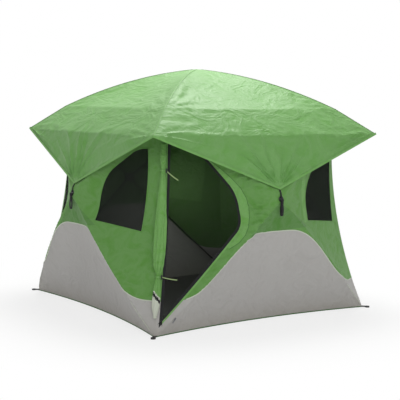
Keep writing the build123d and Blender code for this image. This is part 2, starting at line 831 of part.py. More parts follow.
def build():
    parts = {}
    triangles, inner = panel_net(wall_hub_skin, wall_normal, wall_rim(), pole_bulge)
    blank = skin(triangles, inner)
    bell = prism(bell_outline())
    plain = make_wall(blank, bell, False)
    front = make_wall(blank, bell, True)
    panes = []
    for name, angle in walls.items():
        pieces = front if name == "front" else plain
        parts[f"wall_{name}_upper"] = node(pieces["upper"].rotate(Axis.Z, angle))
        parts[f"wall_{name}_lower"] = node(pieces["lower"].rotate(Axis.Z, angle))
        panes += [pane.rotate(Axis.Z, angle) for pane in pieces["windows"]]
    parts["window_meshes"] = node(panes)
    parts["door_zip"] = node(front["zip"])
    parts["door_edge_tape"] = node(front["edge"])
    parts["mesh_door"] = node(front["door"])
    parts["roof_panel"] = skin(*panel_net(roof_hub_skin, roof_normal, roof_rim(), pole_bulge))
    parts["floor_panel"] = make_floor()
    parts["rain_fly"] = make_fly()
    parts["fly_stays"] = node(make_stays())
    strap = make_fly_strap()
    cap = make_wall_cap()
    handle = make_handle()
    parts["fly_straps"] = node(four(strap))
    corners = {"lower": [], "upper": []}
    for name in list(walls) + ["roof"]:
        frames = frames_of(name)
        is_roof = name == "roof"
        skin_point, normal = (roof_hub_skin, roof_normal) if is_roof else (wall_hub_skin, wall_normal)
        turns = 0 if is_roof else list(walls).index(name)
        hub = turned(hub_middle(skin_point, normal), turns)
        body, pins = make_hub(hub, turned(normal, turns), frames.values())
        parts[f"hub_{name}"] = node(body)
        cover = make_roof_cap() if is_roof else cap.rotate(Axis.Z, walls[name])
        parts[f"hub_cap_and_pins_{name}"] = node([cover] + pins)
        if not is_roof:
            parts[f"pull_handle_{name}"] = node(handle.rotate(Axis.Z, walls[name]))
        for end, frame in frames.items():
            bow = roof_pole_bow if is_roof else wall_pole_bow
            parts[f"pole_{name}_{end}"] = node(make_pole(frame, bow))
            if frame["outer"].X > 0 and frame["outer"].Y < 0:
                corners["lower" if end.startswith("lower") else "upper"].append(frame)
    cores = wall_cores()
    foot, foot_pins = make_foot(cores["lower_right"], corners["lower"])
    fitting, fitting_pins = make_corner(cores["upper_right"], corners["upper"])
    parts["corner_feet"] = node(four(foot))
    parts["upper_corner_fittings"] = node(four(fitting))
    parts["corner_pins"] = node([copy for pin in foot_pins + fitting_pins for copy in four(pin)])
    parts["door_flap_roll"] = node(make_roll())
    parts["flap_ties"] = node(make_ties())
    parts["zip_slider"] = node(make_slider())
    return parts


if __name__ == "__main__":
    os.makedirs("parts", exist_ok=True)
    for name, shape in build().items():
        export_step(shape, f"parts/{name}.step")
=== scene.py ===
import math
import bpy
import numpy as np
from mathutils import Matrix, Vector, noise
from mathutils.bvhtree import BVHTree
from mathutils.geometry import delaunay_2d_cdt
from mathutils.kdtree import KDTree


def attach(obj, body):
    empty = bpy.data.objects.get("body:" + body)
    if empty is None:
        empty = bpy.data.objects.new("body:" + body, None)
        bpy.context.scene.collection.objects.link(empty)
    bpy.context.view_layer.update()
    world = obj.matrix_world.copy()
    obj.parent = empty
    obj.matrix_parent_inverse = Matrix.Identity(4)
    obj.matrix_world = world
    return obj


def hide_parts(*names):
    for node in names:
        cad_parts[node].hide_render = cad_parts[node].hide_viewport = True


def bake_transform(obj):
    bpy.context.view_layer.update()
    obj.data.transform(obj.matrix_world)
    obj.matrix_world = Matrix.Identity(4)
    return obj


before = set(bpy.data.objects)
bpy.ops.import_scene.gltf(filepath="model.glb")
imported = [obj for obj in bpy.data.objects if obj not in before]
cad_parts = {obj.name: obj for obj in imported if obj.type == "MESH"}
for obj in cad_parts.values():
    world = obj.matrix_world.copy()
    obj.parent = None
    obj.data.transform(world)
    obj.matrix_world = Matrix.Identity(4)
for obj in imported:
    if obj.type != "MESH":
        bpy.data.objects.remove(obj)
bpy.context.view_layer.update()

bpy.ops.object.select_all(action="DESELECT")
turnsOf = {"front": 0, "right": 1, "back": 2, "left": 3}
print("stage 1: frame loaded")

# camera, floor and light
cameraSet = {
    "place": (-4.0984, -6.2082, 1.5477),
    "right": (0.83269581, -0.55362412, 0.01086398),
    "up": (0.04765904, 0.0912023, 0.99469129),
    "ahead": (0.5516759, 0.8277575, -0.10232897),
    "lens": 85.83,
}
cameraData = bpy.data.cameras.new("camera")
cameraData.lens = cameraSet["lens"]
cameraData.sensor_width = 36
camera = bpy.data.objects.new("camera", cameraData)
bpy.context.scene.collection.objects.link(camera)
axes = Matrix((cameraSet["right"], cameraSet["up"], -Vector(cameraSet["ahead"]))).transposed()
camera.matrix_world = Matrix.Translation(cameraSet["place"]) @ axes.to_4x4()
bpy.context.scene.camera = camera
bpy.context.scene.view_settings.view_transform = "Standard"

lightSet = {
    "sky": 0.48,
    "topPower": 175, "topSize": 2.6, "topPlace": (0.9, 1.1, 4.8),
    "frontPower": 94, "frontSize": 2.2, "frontPlace": (-2.8, -6.6, 3.7),
    "insidePower": 9, "insideSize": 0.35, "insidePlace": (0.15, 0.5, 0.7),
    "glowNear": 0.72, "nearReach": 1.2, "farReach": 2.3,
}


def fillInputs(tree, node, inputs):
    for key, value in inputs.items():
        if isinstance(value, bpy.types.NodeSocket):
            tree.links.new(value, node.inputs[key])
        else:
            node.inputs[key].default_value = value
    return node


def addNode(tree, kind, inputs=None, **settings):
    node = tree.nodes.new(kind)
    for key, value in settings.items():
        setattr(node, key, value)
    return fillInputs(tree, node, inputs or {})


def math2(tree, operation, a, b=0.0, c=0.0):
    return addNode(tree, "ShaderNodeMath", {0: a, 1: b, 2: c}, operation=operation).outputs[0]


def directRay(tree):
    path = addNode(tree, "ShaderNodeLightPath")
    either = math2(tree, "MAXIMUM", path.outputs["Is Camera Ray"], path.outputs["Is Glossy Ray"])
    return math2(tree, "MAXIMUM", either, path.outputs["Is Transmission Ray"])


world = bpy.data.worlds.new("sky")
world.use_nodes = True
tree = world.node_tree
tree.nodes.clear()
light = addNode(tree, "ShaderNodeBackground", {"Color": (1, 1, 1, 1), "Strength": lightSet["sky"]})
white = addNode(tree, "ShaderNodeBackground", {"Color": (1, 1, 1, 1), "Strength": 1.0})
both = addNode(tree, "ShaderNodeMixShader", {0: directRay(tree), 1: light.outputs[0], 2: white.outputs[0]})
addNode(tree, "ShaderNodeOutputWorld", {"Surface": both.outputs[0]})
bpy.context.scene.world = world


def addLamp(name, place, power, size, aim):
    lamp = bpy.data.lights.new(name, "AREA")
    lamp.energy = power
    lamp.size = size
    holder = bpy.data.objects.new(name, lamp)
    bpy.context.scene.collection.objects.link(holder)
    holder.location = place
    holder.rotation_euler = (Vector(aim) - Vector(place)).to_track_quat("-Z", "Y").to_euler()


addLamp("topLamp", lightSet["topPlace"], lightSet["topPower"], lightSet["topSize"], (0, 0, 1.4))
addLamp("frontLamp", lightSet["frontPlace"], lightSet["frontPower"], lightSet["frontSize"], (0, 0, 0.9))
# daylight that comes through the thin cloth into the tent
insideData = bpy.data.lights.new("insideLamp", "POINT")
insideData.energy = lightSet["insidePower"]
insideData.shadow_soft_size = lightSet["insideSize"]
insideLamp = bpy.data.objects.new("insideLamp", insideData)
insideLamp.location = lightSet["insidePlace"]
bpy.context.scene.collection.objects.link(insideLamp)

bpy.ops.mesh.primitive_plane_add(size=60, location=(0, 0, -0.0015))
floor = bpy.context.object
floor.name = "studioFloor"
floorLook = bpy.data.materials.new("studioFloor")
floorLook.use_nodes = True
tree = floorLook.node_tree
tree.nodes.clear()
lit = addNode(
    tree, "ShaderNodeBsdfPrincipled",
    {"Base Color": (0.96, 0.96, 0.96, 1), "Roughness": 0.9, "Specular IOR Level": 0.1},
)
glow = addNode(tree, "ShaderNodeEmission", {"Color": (1, 1, 1, 1), "Strength": 1.0})
ground = addNode(tree, "ShaderNodeTexCoord")
away = addNode(tree, "ShaderNodeVectorMath", {0: ground.outputs["Object"]}, operation="LENGTH")
reach = addNode(
    tree, "ShaderNodeMapRange",
    {0: away.outputs["Value"], 1: lightSet["nearReach"], 2: lightSet["farReach"], 3: lightSet["glowNear"], 4: 1.0},
    interpolation_type="SMOOTHSTEP",
)
share = addNode(tree, "ShaderNodeMath", {0: directRay(tree), 1: reach.outputs[0]}, operation="MULTIPLY")
mixed = addNode(tree, "ShaderNodeMixShader", {0: share.outputs[0], 1: lit.outputs[0], 2: glow.outputs[0]})
addNode(tree, "ShaderNodeOutputMaterial", {"Surface": mixed.outputs[0]})
floor.data.materials.append(floorLook)
print("stage 2: camera and light")

# shared shader groups


def newGroup(name, inputs, outputs):
    group = bpy.data.node_groups.new(name, "ShaderNodeTree")
    kinds = {"v": "NodeSocketVector", "c": "NodeSocketColor", "f": "NodeSocketFloat"}
    for label, kind in inputs:
        group.interface.new_socket(name=label, in_out="INPUT", socket_type=kinds[kind])
    for label, kind in outputs:
        group.interface.new_socket(name=label, in_out="OUTPUT", socket_type=kinds[kind])
    return group, group.nodes.new("NodeGroupInput").outputs, group.nodes.new("NodeGroupOutput").inputs


# plain weave with a heavier thread every few millimetres
weaveGroup, gIn, gOut = newGroup(
    "weave", [("Vector", "v"), ("Threads", "f"), ("Rip", "f")], [("Height", "f"), ("Thread", "f")],
)
scaled = addNode(weaveGroup, "ShaderNodeVectorMath", {0: gIn["Vector"], "Scale": gIn["Threads"]}, operation="SCALE")
cut = addNode(weaveGroup, "ShaderNodeSeparateXYZ", {0: scaled.outputs[0]})
warp = math2(weaveGroup, "SINE", math2(weaveGroup, "MULTIPLY", cut.outputs[0], math.tau))
weft = math2(weaveGroup, "SINE", math2(weaveGroup, "MULTIPLY", cut.outputs[1], math.tau))
cross = math2(weaveGroup, "MULTIPLY", warp, weft)
rows = []
for k in (0, 1):
    cell = math2(weaveGroup, "PINGPONG", math2(weaveGroup, "MULTIPLY", cut.outputs[k], gIn["Rip"]), 0.5)
    rows.append(math2(weaveGroup, "LESS_THAN", cell, 0.07))
rip = math2(weaveGroup, "MAXIMUM", rows[0], rows[1])
weaveGroup.links.new(
    math2(
        weaveGroup, "ADD", math2(weaveGroup, "MULTIPLY_ADD", cross, 0.35, 0.5),
        math2(weaveGroup, "MULTIPLY", rip, 0.6),
    ),
    gOut["Height"],
)
weaveGroup.links.new(rip, gOut["Thread"])

# soft creases of handled cloth, as sharp ridges between two noises
creaseGroup, gIn, gOut = newGroup(
    "creases", [("Vector", "v"), ("Scale", "f"), ("Stretch", "v")], [("Height", "f"), ("Ridge", "f")],
)
stretched = addNode(creaseGroup, "ShaderNodeVectorMath", {0: gIn["Vector"], 1: gIn["Stretch"]}, operation="MULTIPLY")
wide = addNode(
    creaseGroup, "ShaderNodeTexNoise",
    {"Vector": stretched.outputs[0], "Scale": gIn["Scale"], "Detail": 3.0, "Roughness": 0.55, "Distortion": 0.9},
)
ridge = math2(
    creaseGroup, "SUBTRACT", 1.0,
    math2(
        creaseGroup, "MULTIPLY", math2(creaseGroup, "ABSOLUTE", math2(creaseGroup, "SUBTRACT", wide.outputs[0], 0.5)),
        5.0,
    ),
)
sharp = math2(creaseGroup, "MAXIMUM", ridge, 0.0)
fine = addNode(
    creaseGroup, "ShaderNodeTexNoise",
    {
        "Vector": gIn["Vector"], "Scale": math2(creaseGroup, "MULTIPLY", gIn["Scale"], 4.2), "Detail": 4.0,
        "Roughness": 0.6,
    },
)
creaseGroup.links.new(
    math2(
        creaseGroup, "ADD", math2(creaseGroup, "MULTIPLY", sharp, 0.75),
        math2(creaseGroup, "MULTIPLY", fine.outputs[0], 0.55),
    ),
    gOut["Height"],
)
creaseGroup.links.new(sharp, gOut["Ridge"])

# uneven dye, dust near the ground, and a painted highlight that whitens the crease crests
toneGroup, gIn, gOut = newGroup(
    "clothTone",
    [
        ("Vector", "v"), ("Colour", "c"), ("Dark", "c"), ("Dust", "c"),
        ("Dust Height", "f"), ("Uneven", "f"), ("Ridge", "f"), ("Base Roughness", "f"),
    ],
    [("Colour", "c"), ("Roughness", "f")],
)
blot = addNode(
    toneGroup, "ShaderNodeTexNoise", {"Vector": gIn["Vector"], "Scale": 2.6, "Detail": 5.0, "Roughness": 0.55},
)
shade = addNode(
    toneGroup, "ShaderNodeMix",
    {0: math2(toneGroup, "MULTIPLY", blot.outputs[0], gIn["Uneven"]), 6: gIn["Colour"], 7: gIn["Dark"]},
    data_type="RGBA",
)
axis = addNode(toneGroup, "ShaderNodeSeparateXYZ", {0: gIn["Vector"]})
low = addNode(toneGroup, "ShaderNodeMapRange", {0: axis.outputs[2], 1: gIn["Dust Height"], 2: 0.0, 3: 0.0, 4: 1.0})
speck = addNode(
    toneGroup, "ShaderNodeTexNoise", {"Vector": gIn["Vector"], "Scale": 22.0, "Detail": 6.0, "Roughness": 0.7},
)
dusty = math2(
    toneGroup, "MULTIPLY", math2(toneGroup, "MULTIPLY", low.outputs[0], low.outputs[0]),
    math2(toneGroup, "MULTIPLY", speck.outputs[0], 0.75),
)
dusted = addNode(toneGroup, "ShaderNodeMix", {0: dusty, 6: shade.outputs[2], 7: gIn["Dust"]}, data_type="RGBA")
# painted highlight: the crest of every crease is mixed a little towards white
creaseHighlight = addNode(
    toneGroup, "ShaderNodeMix",
    {0: math2(toneGroup, "MULTIPLY", gIn["Ridge"], 0.04), 6: dusted.outputs[2], 7: (1, 1, 1, 1)}, data_type="RGBA",
)
toneGroup.links.new(creaseHighlight.outputs[2], gOut["Colour"])
toneGroup.links.new(
    math2(toneGroup, "ADD", gIn["Base Roughness"], math2(toneGroup, "MULTIPLY_ADD", blot.outputs[0], 0.16, -0.08)),
    gOut["Roughness"],
)

# square netting: share of thread over the open cells
netGroup, gIn, gOut = newGroup(
    "netting", [("Vector", "v"), ("Cells", "f"), ("Cover", "f"), ("Contrast", "f")], [("Mask", "f"), ("Height", "f")],
)
scaled = addNode(netGroup, "ShaderNodeVectorMath", {0: gIn["Vector"], "Scale": gIn["Cells"]}, operation="SCALE")
cut = addNode(netGroup, "ShaderNodeSeparateXYZ", {0: scaled.outputs[0]})
lines = [math2(netGroup, "PINGPONG", cut.outputs[k], 0.5) for k in (0, 1)]
near = math2(netGroup, "MINIMUM", lines[0], lines[1])
thread = addNode(netGroup, "ShaderNodeMapRange", {0: near, 1: 0.16, 2: 0.10, 3: 0.0, 4: 1.0})
even = addNode(
    netGroup, "ShaderNodeMix", {0: gIn["Contrast"], 2: gIn["Cover"], 3: thread.outputs[0]}, data_type="FLOAT",
)
netGroup.links.new(even.outputs[0], gOut["Mask"])
netGroup.links.new(thread.outputs[0], gOut["Height"])

# ribbed webbing and zip coils: bars across the strap
ribGroup, gIn, gOut = newGroup(
    "ribs", [("Vector", "v"), ("Along", "f"), ("Across", "f")], [("Height", "f"), ("Edge", "f")],
)
cut = addNode(ribGroup, "ShaderNodeSeparateXYZ", {0: gIn["Vector"]})
along = math2(ribGroup, "SINE", math2(ribGroup, "MULTIPLY", cut.outputs[0], gIn["Along"]))
acrossRib = math2(ribGroup, "SINE", math2(ribGroup, "MULTIPLY", cut.outputs[1], gIn["Across"]))
ribGroup.links.new(
    math2(ribGroup, "MULTIPLY_ADD", math2(ribGroup, "MULTIPLY", along, acrossRib), 0.5, 0.5), gOut["Height"],
)
ribGroup.links.new(math2(ribGroup, "GREATER_THAN", along, 0.2), gOut["Edge"])

# moulded plastic and drawn metal: fine grain, paler rubbed places
grainGroup, gIn, gOut = newGroup(
    "grain", [("Vector", "v"), ("Colour", "c"), ("Worn", "c"), ("Scale", "f"), ("Base Roughness", "f")],
    [("Colour", "c"), ("Roughness", "f"), ("Height", "f")],
)
pebble = addNode(
    grainGroup, "ShaderNodeTexNoise",
    {"Vector": gIn["Vector"], "Scale": gIn["Scale"], "Detail": 5.0, "Roughness": 0.6},
)
rub = addNode(
    grainGroup, "ShaderNodeTexNoise", {"Vector": gIn["Vector"], "Scale": 38.0, "Detail": 4.0, "Roughness": 0.65},
)
worn = addNode(grainGroup, "ShaderNodeMapRange", {0: rub.outputs[0], 1: 0.52, 2: 0.75, 3: 0.0, 4: 0.55})
mixedColour = addNode(
    grainGroup, "ShaderNodeMix", {0: worn.outputs[0], 6: gIn["Colour"], 7: gIn["Worn"]}, data_type="RGBA",
)
grainGroup.links.new(mixedColour.outputs[2], gOut["Colour"])
grainGroup.links.new(
    math2(grainGroup, "MULTIPLY_ADD", pebble.outputs[0], 0.2, gIn["Base Roughness"]), gOut["Roughness"],
)
grainGroup.links.new(pebble.outputs[0], gOut["Height"])


def hexColour(red, green, blue):
    return tuple(
        ((c / 255 + 0.055) / 1.055) ** 2.4 if c > 10 else c / 255 / 12.92 for c in (red, green, blue)
    ) + (1.0,)


def useGroup(tree, group, inputs):
    return addNode(tree, "ShaderNodeGroup", inputs, node_tree=group)


def startMaterial(name):
    material = bpy.data.materials.new(name)
    material.use_nodes = True
    tree = material.node_tree
    return material, tree, tree.nodes["Principled BSDF"], addNode(tree, "ShaderNodeTexCoord")


def clothMaterial(name, look):
    material, tree, shader, coords = startMaterial(name)
    weave = useGroup(
        tree, weaveGroup, {"Vector": coords.outputs["UV"], "Threads": look["threads"], "Rip": look["rip"]},
    )
    crease = useGroup(
        tree, creaseGroup, {"Vector": coords.outputs["UV"], "Scale": look["creaseScale"], "Stretch": look["stretch"]},
    )
    tone = useGroup(tree, toneGroup, {
        "Vector": coords.outputs["Object"], "Colour": hexColour(*look["colour"]), "Dark": hexColour(*look["dark"]),
        "Dust": hexColour(*look["dust"]), "Dust Height": look["dustHeight"], "Uneven": look["uneven"],
        "Ridge": crease.outputs["Ridge"], "Base Roughness": look["roughness"],
    })
    folds = addNode(
        tree, "ShaderNodeBump",
        {"Height": crease.outputs["Height"], "Strength": look["creaseStrength"], "Distance": look["creaseDepth"]},
    )
    threads = addNode(
        tree, "ShaderNodeBump",
        {
            "Height": weave.outputs["Height"], "Strength": look["weaveStrength"], "Distance": 0.0003,
            "Normal": folds.outputs[0],
        },
    )
    fillInputs(tree, shader, {
        "Base Color": tone.outputs["Colour"], "Roughness": tone.outputs["Roughness"], "Normal": threads.outputs[0],
        "Sheen Weight": look["sheen"], "Sheen Roughness": 0.5, "Specular IOR Level": look["gloss"],
    })
    return material


clothLook = {
    "colour": (92, 148, 62), "dark": (84, 138, 56), "dust": (160, 156, 140), "dustHeight": 0.30, "uneven": 0.25,
    "threads": 520.0, "rip": 0.10, "creaseScale": 8.0, "stretch": (1.0, 1.0, 1.0), "creaseStrength": 0.42,
    "creaseDepth": 0.012,
    "weaveStrength": 0.25, "roughness": 0.60, "sheen": 0.05, "gloss": 0.3,
}
wallGreen = clothMaterial("wallGreen", clothLook)
bandGreen = clothMaterial(
    "bandGreen",
    clothLook | {"colour": (108, 166, 78), "dark": (98, 154, 70), "creaseScale": 12.0, "creaseStrength": 0.5},
)
shadeGreen = clothMaterial("shadeGreen", clothLook | {"colour": (80, 134, 54), "dark": (72, 124, 48)})
flyGreen = clothMaterial("flyGreen", clothLook | {
    "colour": (106, 162, 80), "dark": (98, 152, 73), "dustHeight": 0.01, "uneven": 0.15, "roughness": 0.48,
    "gloss": 0.28,
    "sheen": 0.0, "creaseScale": 4.5, "creaseStrength": 0.4, "creaseDepth": 0.014,
})
hemGreen = clothMaterial(
    "hemGreen",
    clothLook | {"colour": (112, 170, 84), "dark": (100, 156, 74), "dustHeight": 0.01, "creaseStrength": 0.1},
)
skirtGrey = clothMaterial("skirtGrey", clothLook | {
    "colour": (182, 180, 177), "dark": (170, 168, 165), "dust": (150, 142, 126), "dustHeight": 0.22,
    "roughness": 0.62, "creaseStrength": 0.4, "sheen": 0.08,
})
pipingPale = clothMaterial(
    "pipingPale", clothLook | {"colour": (206, 212, 196), "dark": (186, 194, 176), "creaseStrength": 0.05},
)
roofGreen = clothMaterial(
    "roofGreen", clothLook | {"colour": (92, 140, 82), "dark": (78, 124, 70), "dustHeight": 0.01},
)
floorBlack = clothMaterial("floorBlack", clothLook | {
    "colour": (22, 22, 24), "dark": (16, 16, 18), "dust": (92, 88, 80), "dustHeight": 0.01, "roughness": 0.5,
    "gloss": 0.4, "creaseStrength": 0.3,
})


def netMaterial(name, look):
    material, tree, shader, coords = startMaterial(name)
    net = useGroup(
        tree, netGroup,
        {
            "Vector": coords.outputs["UV"], "Cells": look["cells"], "Cover": look["cover"],
            "Contrast": look["contrast"],
        },
    )
    tone = useGroup(tree, toneGroup, {
        "Vector": coords.outputs["Object"], "Colour": hexColour(*look["colour"]), "Dark": hexColour(*look["dark"]),
        "Dust": hexColour(90, 88, 80), "Dust Height": 0.15, "Uneven": 0.6, "Ridge": 0.0, "Base Roughness": 0.85,
    })
    bump = addNode(tree, "ShaderNodeBump", {"Height": net.outputs["Height"], "Strength": 0.4, "Distance": 0.0004})
    fillInputs(tree, shader, {
        "Base Color": tone.outputs["Colour"], "Roughness": tone.outputs["Roughness"], "Normal": bump.outputs[0],
        "Alpha": net.outputs["Mask"], "Specular IOR Level": 0.06,
    })
    return material


doorNet = netMaterial(
    "doorNet", {"cells": 560.0, "cover": 0.56, "contrast": 0.2, "colour": (20, 21, 20), "dark": (14, 15, 14)},
)
windowNet = netMaterial(
    "windowNet", {"cells": 560.0, "cover": 0.86, "contrast": 0.15, "colour": (38, 42, 38), "dark": (31, 34, 31)},
)


def useGrain(tree, coords, look):
    return useGroup(tree, grainGroup, {
        "Vector": coords.outputs["Object"], "Colour": hexColour(*look["colour"]), "Worn": hexColour(*look["worn"]),
        "Scale": look["scale"], "Base Roughness": look["roughness"],
    })


def strapMaterial(name, look):
    material, tree, shader, coords = startMaterial(name)
    ribs = useGroup(
        tree, ribGroup, {"Vector": coords.outputs["UV"], "Along": look["along"], "Across": look["across"]},
    )
    grain = useGrain(tree, coords, look | {"scale": 900.0})
    bump = addNode(tree, "ShaderNodeBump", {"Height": ribs.outputs["Height"], "Strength": 0.6, "Distance": 0.0008})
    fillInputs(tree, shader, {
        "Base Color": grain.outputs["Colour"], "Roughness": grain.outputs["Roughness"], "Normal": bump.outputs[0],
        "Specular IOR Level": 0.3,
    })
    return material


webbing = {"along": 2600.0, "across": 1500.0}
blackWebbing = strapMaterial(
    "blackWebbing", webbing | {"colour": (26, 27, 28), "worn": (52, 53, 54), "roughness": 0.6},
)
tieWebbing = strapMaterial(
    "tieWebbing", webbing | {"colour": (168, 192, 134), "worn": (196, 214, 166), "roughness": 0.65},
)
zipTape = strapMaterial(
    "zipTape", {"along": 3600.0, "across": 900.0, "colour": (22, 22, 24), "worn": (40, 40, 42), "roughness": 0.55},
)
hemDark = strapMaterial("hemDark", webbing | {"colour": (60, 104, 52), "worn": (84, 126, 74), "roughness": 0.7})


def hardMaterial(name, look):
    material, tree, shader, coords = startMaterial(name)
    grain = useGrain(tree, coords, look)
    bump = addNode(
        tree, "ShaderNodeBump", {"Height": grain.outputs["Height"], "Strength": 0.25, "Distance": look["depth"]},
    )
    fillInputs(tree, shader, {
        "Base Color": grain.outputs["Colour"], "Roughness": grain.outputs["Roughness"], "Normal": bump.outputs[0],
        "Metallic": look["metal"],
    })
    return material


blackNylon = hardMaterial(
    "blackNylon",
    {"colour": (24, 24, 26), "worn": (58, 58, 60), "scale": 1400.0, "roughness": 0.38, "depth": 0.0002, "metal": 0.0},
)
steelPin = hardMaterial(
    "steelPin",
    {
        "colour": (170, 172, 174), "worn": (130, 130, 130), "scale": 2200.0, "roughness": 0.25, "depth": 0.0001,
        "metal": 1.0,
    },
)
zipMetal = hardMaterial(
    "zipMetal",
    {
        "colour": (120, 122, 124), "worn": (180, 182, 184), "scale": 1800.0, "roughness": 0.28, "depth": 0.0001,
        "metal": 1.0,
    },
)
poleGlass = hardMaterial(
    "poleGlass",
    {"colour": (34, 35, 37), "worn": (70, 71, 73), "scale": 700.0, "roughness": 0.3, "depth": 0.0002, "metal": 0.0},
)
print("stage 3: materials")

# shape of the tent's panels, shared by the walls, door, windows and tapes
tent = {
    "floorHalf": 0.925, "eaveHalf": 0.745, "eaveZ": 1.49, "roofZ": 1.782, "hubOut": 1.066, "hubZ": 0.887,
    "uprightBow": 0.064, "floorBow": 0.083, "eaveBow": 0.012, "bulge": 0.038, "discRadius": 0.042,
    "lean": math.atan2(0.178, 1.452),
}
wallNormal = Vector((0, -math.cos(tent["lean"]), math.sin(tent["lean"])))
hubSkin = Vector((0, -tent["hubOut"], tent["hubZ"]))


def lerp(a, b, t):
    return a + (b - a) * t


def smooth(a, b, x):
    t = np.clip((x - a) / (b - a), 0.0, 1.0)
    return t * t * (3 - 2 * t)


def cornerReach(z):
    t = z / tent["eaveZ"]
    return lerp(tent["floorHalf"], tent["eaveHalf"], t) - tent["uprightBow"] * 4 * t * (1 - t)


def rimPoint(side, t):
    if side == 0:
        return Vector((tent["floorHalf"] * t, tent["floorBow"] * (1 - t * t) - tent["floorHalf"], 0))
    if side == 2:
        return Vector((-tent["eaveHalf"] * t, tent["eaveBow"] * (1 - t * t) - tent["eaveHalf"], tent["eaveZ"]))
    z = tent["eaveZ"] * (1 + t if side == 1 else 1 - t) / 2
    out = cornerReach(z)
    return Vector((out if side == 1 else -out, -out, z))


def fanFaces(count, rows):
    # a middle point, then rings of count points
    faces = []
    for i in range(count):
        k = (i + 1) % count
        faces.append((0, 1 + i, 1 + k))
        for j in range(rows):
            a, b = 1 + j * count, 1 + (j + 1) * count
            faces += [(a + i, b + i, b + k), (a + i, b + k, a + k)]
    return faces


def nearestTree(points):
    found = KDTree(len(points))
    for i, (x, z) in enumerate(points):
        found.insert((x, z, 0), i)
    found.balance()
    return found


def vertexNormals(points, faces):
    corner = points[faces]
    across = np.cross(corner[:, 1] - corner[:, 0], corner[:, 2] - corner[:, 0])
    normals = np.zeros_like(points)
    for k in range(3):
        np.add.at(normals, faces[:, k], across)
    normals /= np.linalg.norm(normals, axis=1)[:, None] + 1e-12
    return normals


def wallTree(steps=48, rows=40):
    rim = [(rimPoint(side, -1 + 2 * i / steps), (-1 + 2 * i / steps) ** 2) for side in range(4) for i in range(steps)]
    points, starts = [hubSkin.copy()], []
    for point, weight in rim:
        across = point - hubSkin
        starts.append(hubSkin + (across - wallNormal * across.dot(wallNormal)).normalized() * tent["discRadius"])
    for j in range(rows + 1):
        t = j / rows
        for (point, weight), start in zip(rim, starts):
            points.append(start.lerp(point, t) + wallNormal * (tent["bulge"] * weight * 4 * t * (1 - t)))
    return BVHTree.FromPolygons(points, fanFaces(len(rim), rows))


wallSurface = wallTree()


def onWall(x, z):
    # slightly inwards until the ray meets the panel, for points on its rim
    slip = 0.0
    for _ in range(9):
        at = Vector((x * (1 - slip), -3.0, tent["hubZ"] + (z - tent["hubZ"]) * (1 - slip)))
        hit = wallSurface.ray_cast(at, Vector((0, 1, 0)))
        if hit[0]:
            return Vector((x, hit[0].y, z)), hit[1] if hit[1].y < 0 else -hit[1]
        slip = slip * 2.5 + 0.0002
    return Vector((x, -tent["hubOut"], z)), wallNormal


def turned(points, turns):
    points = np.array(points, float)
    for _ in range(turns):
        points = np.stack([-points[:, 1], points[:, 0], points[:, 2]], axis=1)
    return points


def roundedOutline(points, rounds):
    out = []
    for i, p in enumerate(points):
        p = np.array(p, float)
        if i not in rounds:
            out.append(p)
            continue
        u = np.array(points[i - 1], float) - p
        v = np.array(points[(i + 1) % len(points)], float) - p
        u, v = u / np.linalg.norm(u), v / np.linalg.norm(v)
        half = math.acos(float(u @ v)) / 2
        middle = p + (u + v) / np.linalg.norm(u + v) * rounds[i] / math.sin(half)
        first, last = p + u * rounds[i] / math.tan(half) - middle, p + v * rounds[i] / math.tan(half) - middle
        a0, a1 = math.atan2(first[1], first[0]), math.atan2(last[1], last[0])
        turn = (a1 - a0 + math.pi) % math.tau - math.pi
        out += [
            middle + rounds[i] * np.array((math.cos(a0 + turn * k / 12), math.sin(a0 + turn * k / 12)))
            for k in range(13)
        ]
    return np.array(out)


def insetOutline(points, amount):
    before, after = np.roll(points, 1, axis=0), np.roll(points, -1, axis=0)
    a, b = points - before, after - points
    a, b = a / np.linalg.norm(a, axis=1)[:, None], b / np.linalg.norm(b, axis=1)[:, None]
    area = float((points[:, 0] * after[:, 1] - after[:, 0] * points[:, 1]).sum())
    turn = 1.0 if area > 0 else -1.0
    normal = np.stack([-(a + b)[:, 1], (a + b)[:, 0]], axis=1) * turn
    length = np.linalg.norm(normal, axis=1)
    return points + normal / length[:, None] * (amount / np.maximum(length / 2, 0.4))[:, None]


def resampled(points, spacing, closed):
    points = [np.array(p, float) for p in points]
    if closed:
        points.append(points[0])
    out = []
    for p, q in zip(points, points[1:]):
        count = max(1, int(math.ceil(np.linalg.norm(q - p) / spacing)))
        out += [p + (q - p) * k / count for k in range(count)]
    if not closed:
        out.append(points[-1])
    return np.array(out)


def inside(points, outline):
    x, z = points[:, 0], points[:, 1]
    found = np.zeros(len(points), bool)
    for (x0, z0), (x1, z1) in zip(outline, np.roll(outline, -1, axis=0)):
        crosses = (z0 > z) != (z1 > z)
        at = x0 + (z - z0) * (x1 - x0) / (z1 - z0 if z1 != z0 else 1e-12)
        found ^= crosses & (x < at)
    return found


def bellLine(reach):
    side = []
    for i in range(33):
        t = i / 32
        side.append((0.130 + 0.660 * t, lerp(0.224, 0.656, (1 + math.cos(math.pi * t)) / 2)))
    side.append((reach, 0.224))
    return [(-x, z) for x, z in side[::-1]] + side


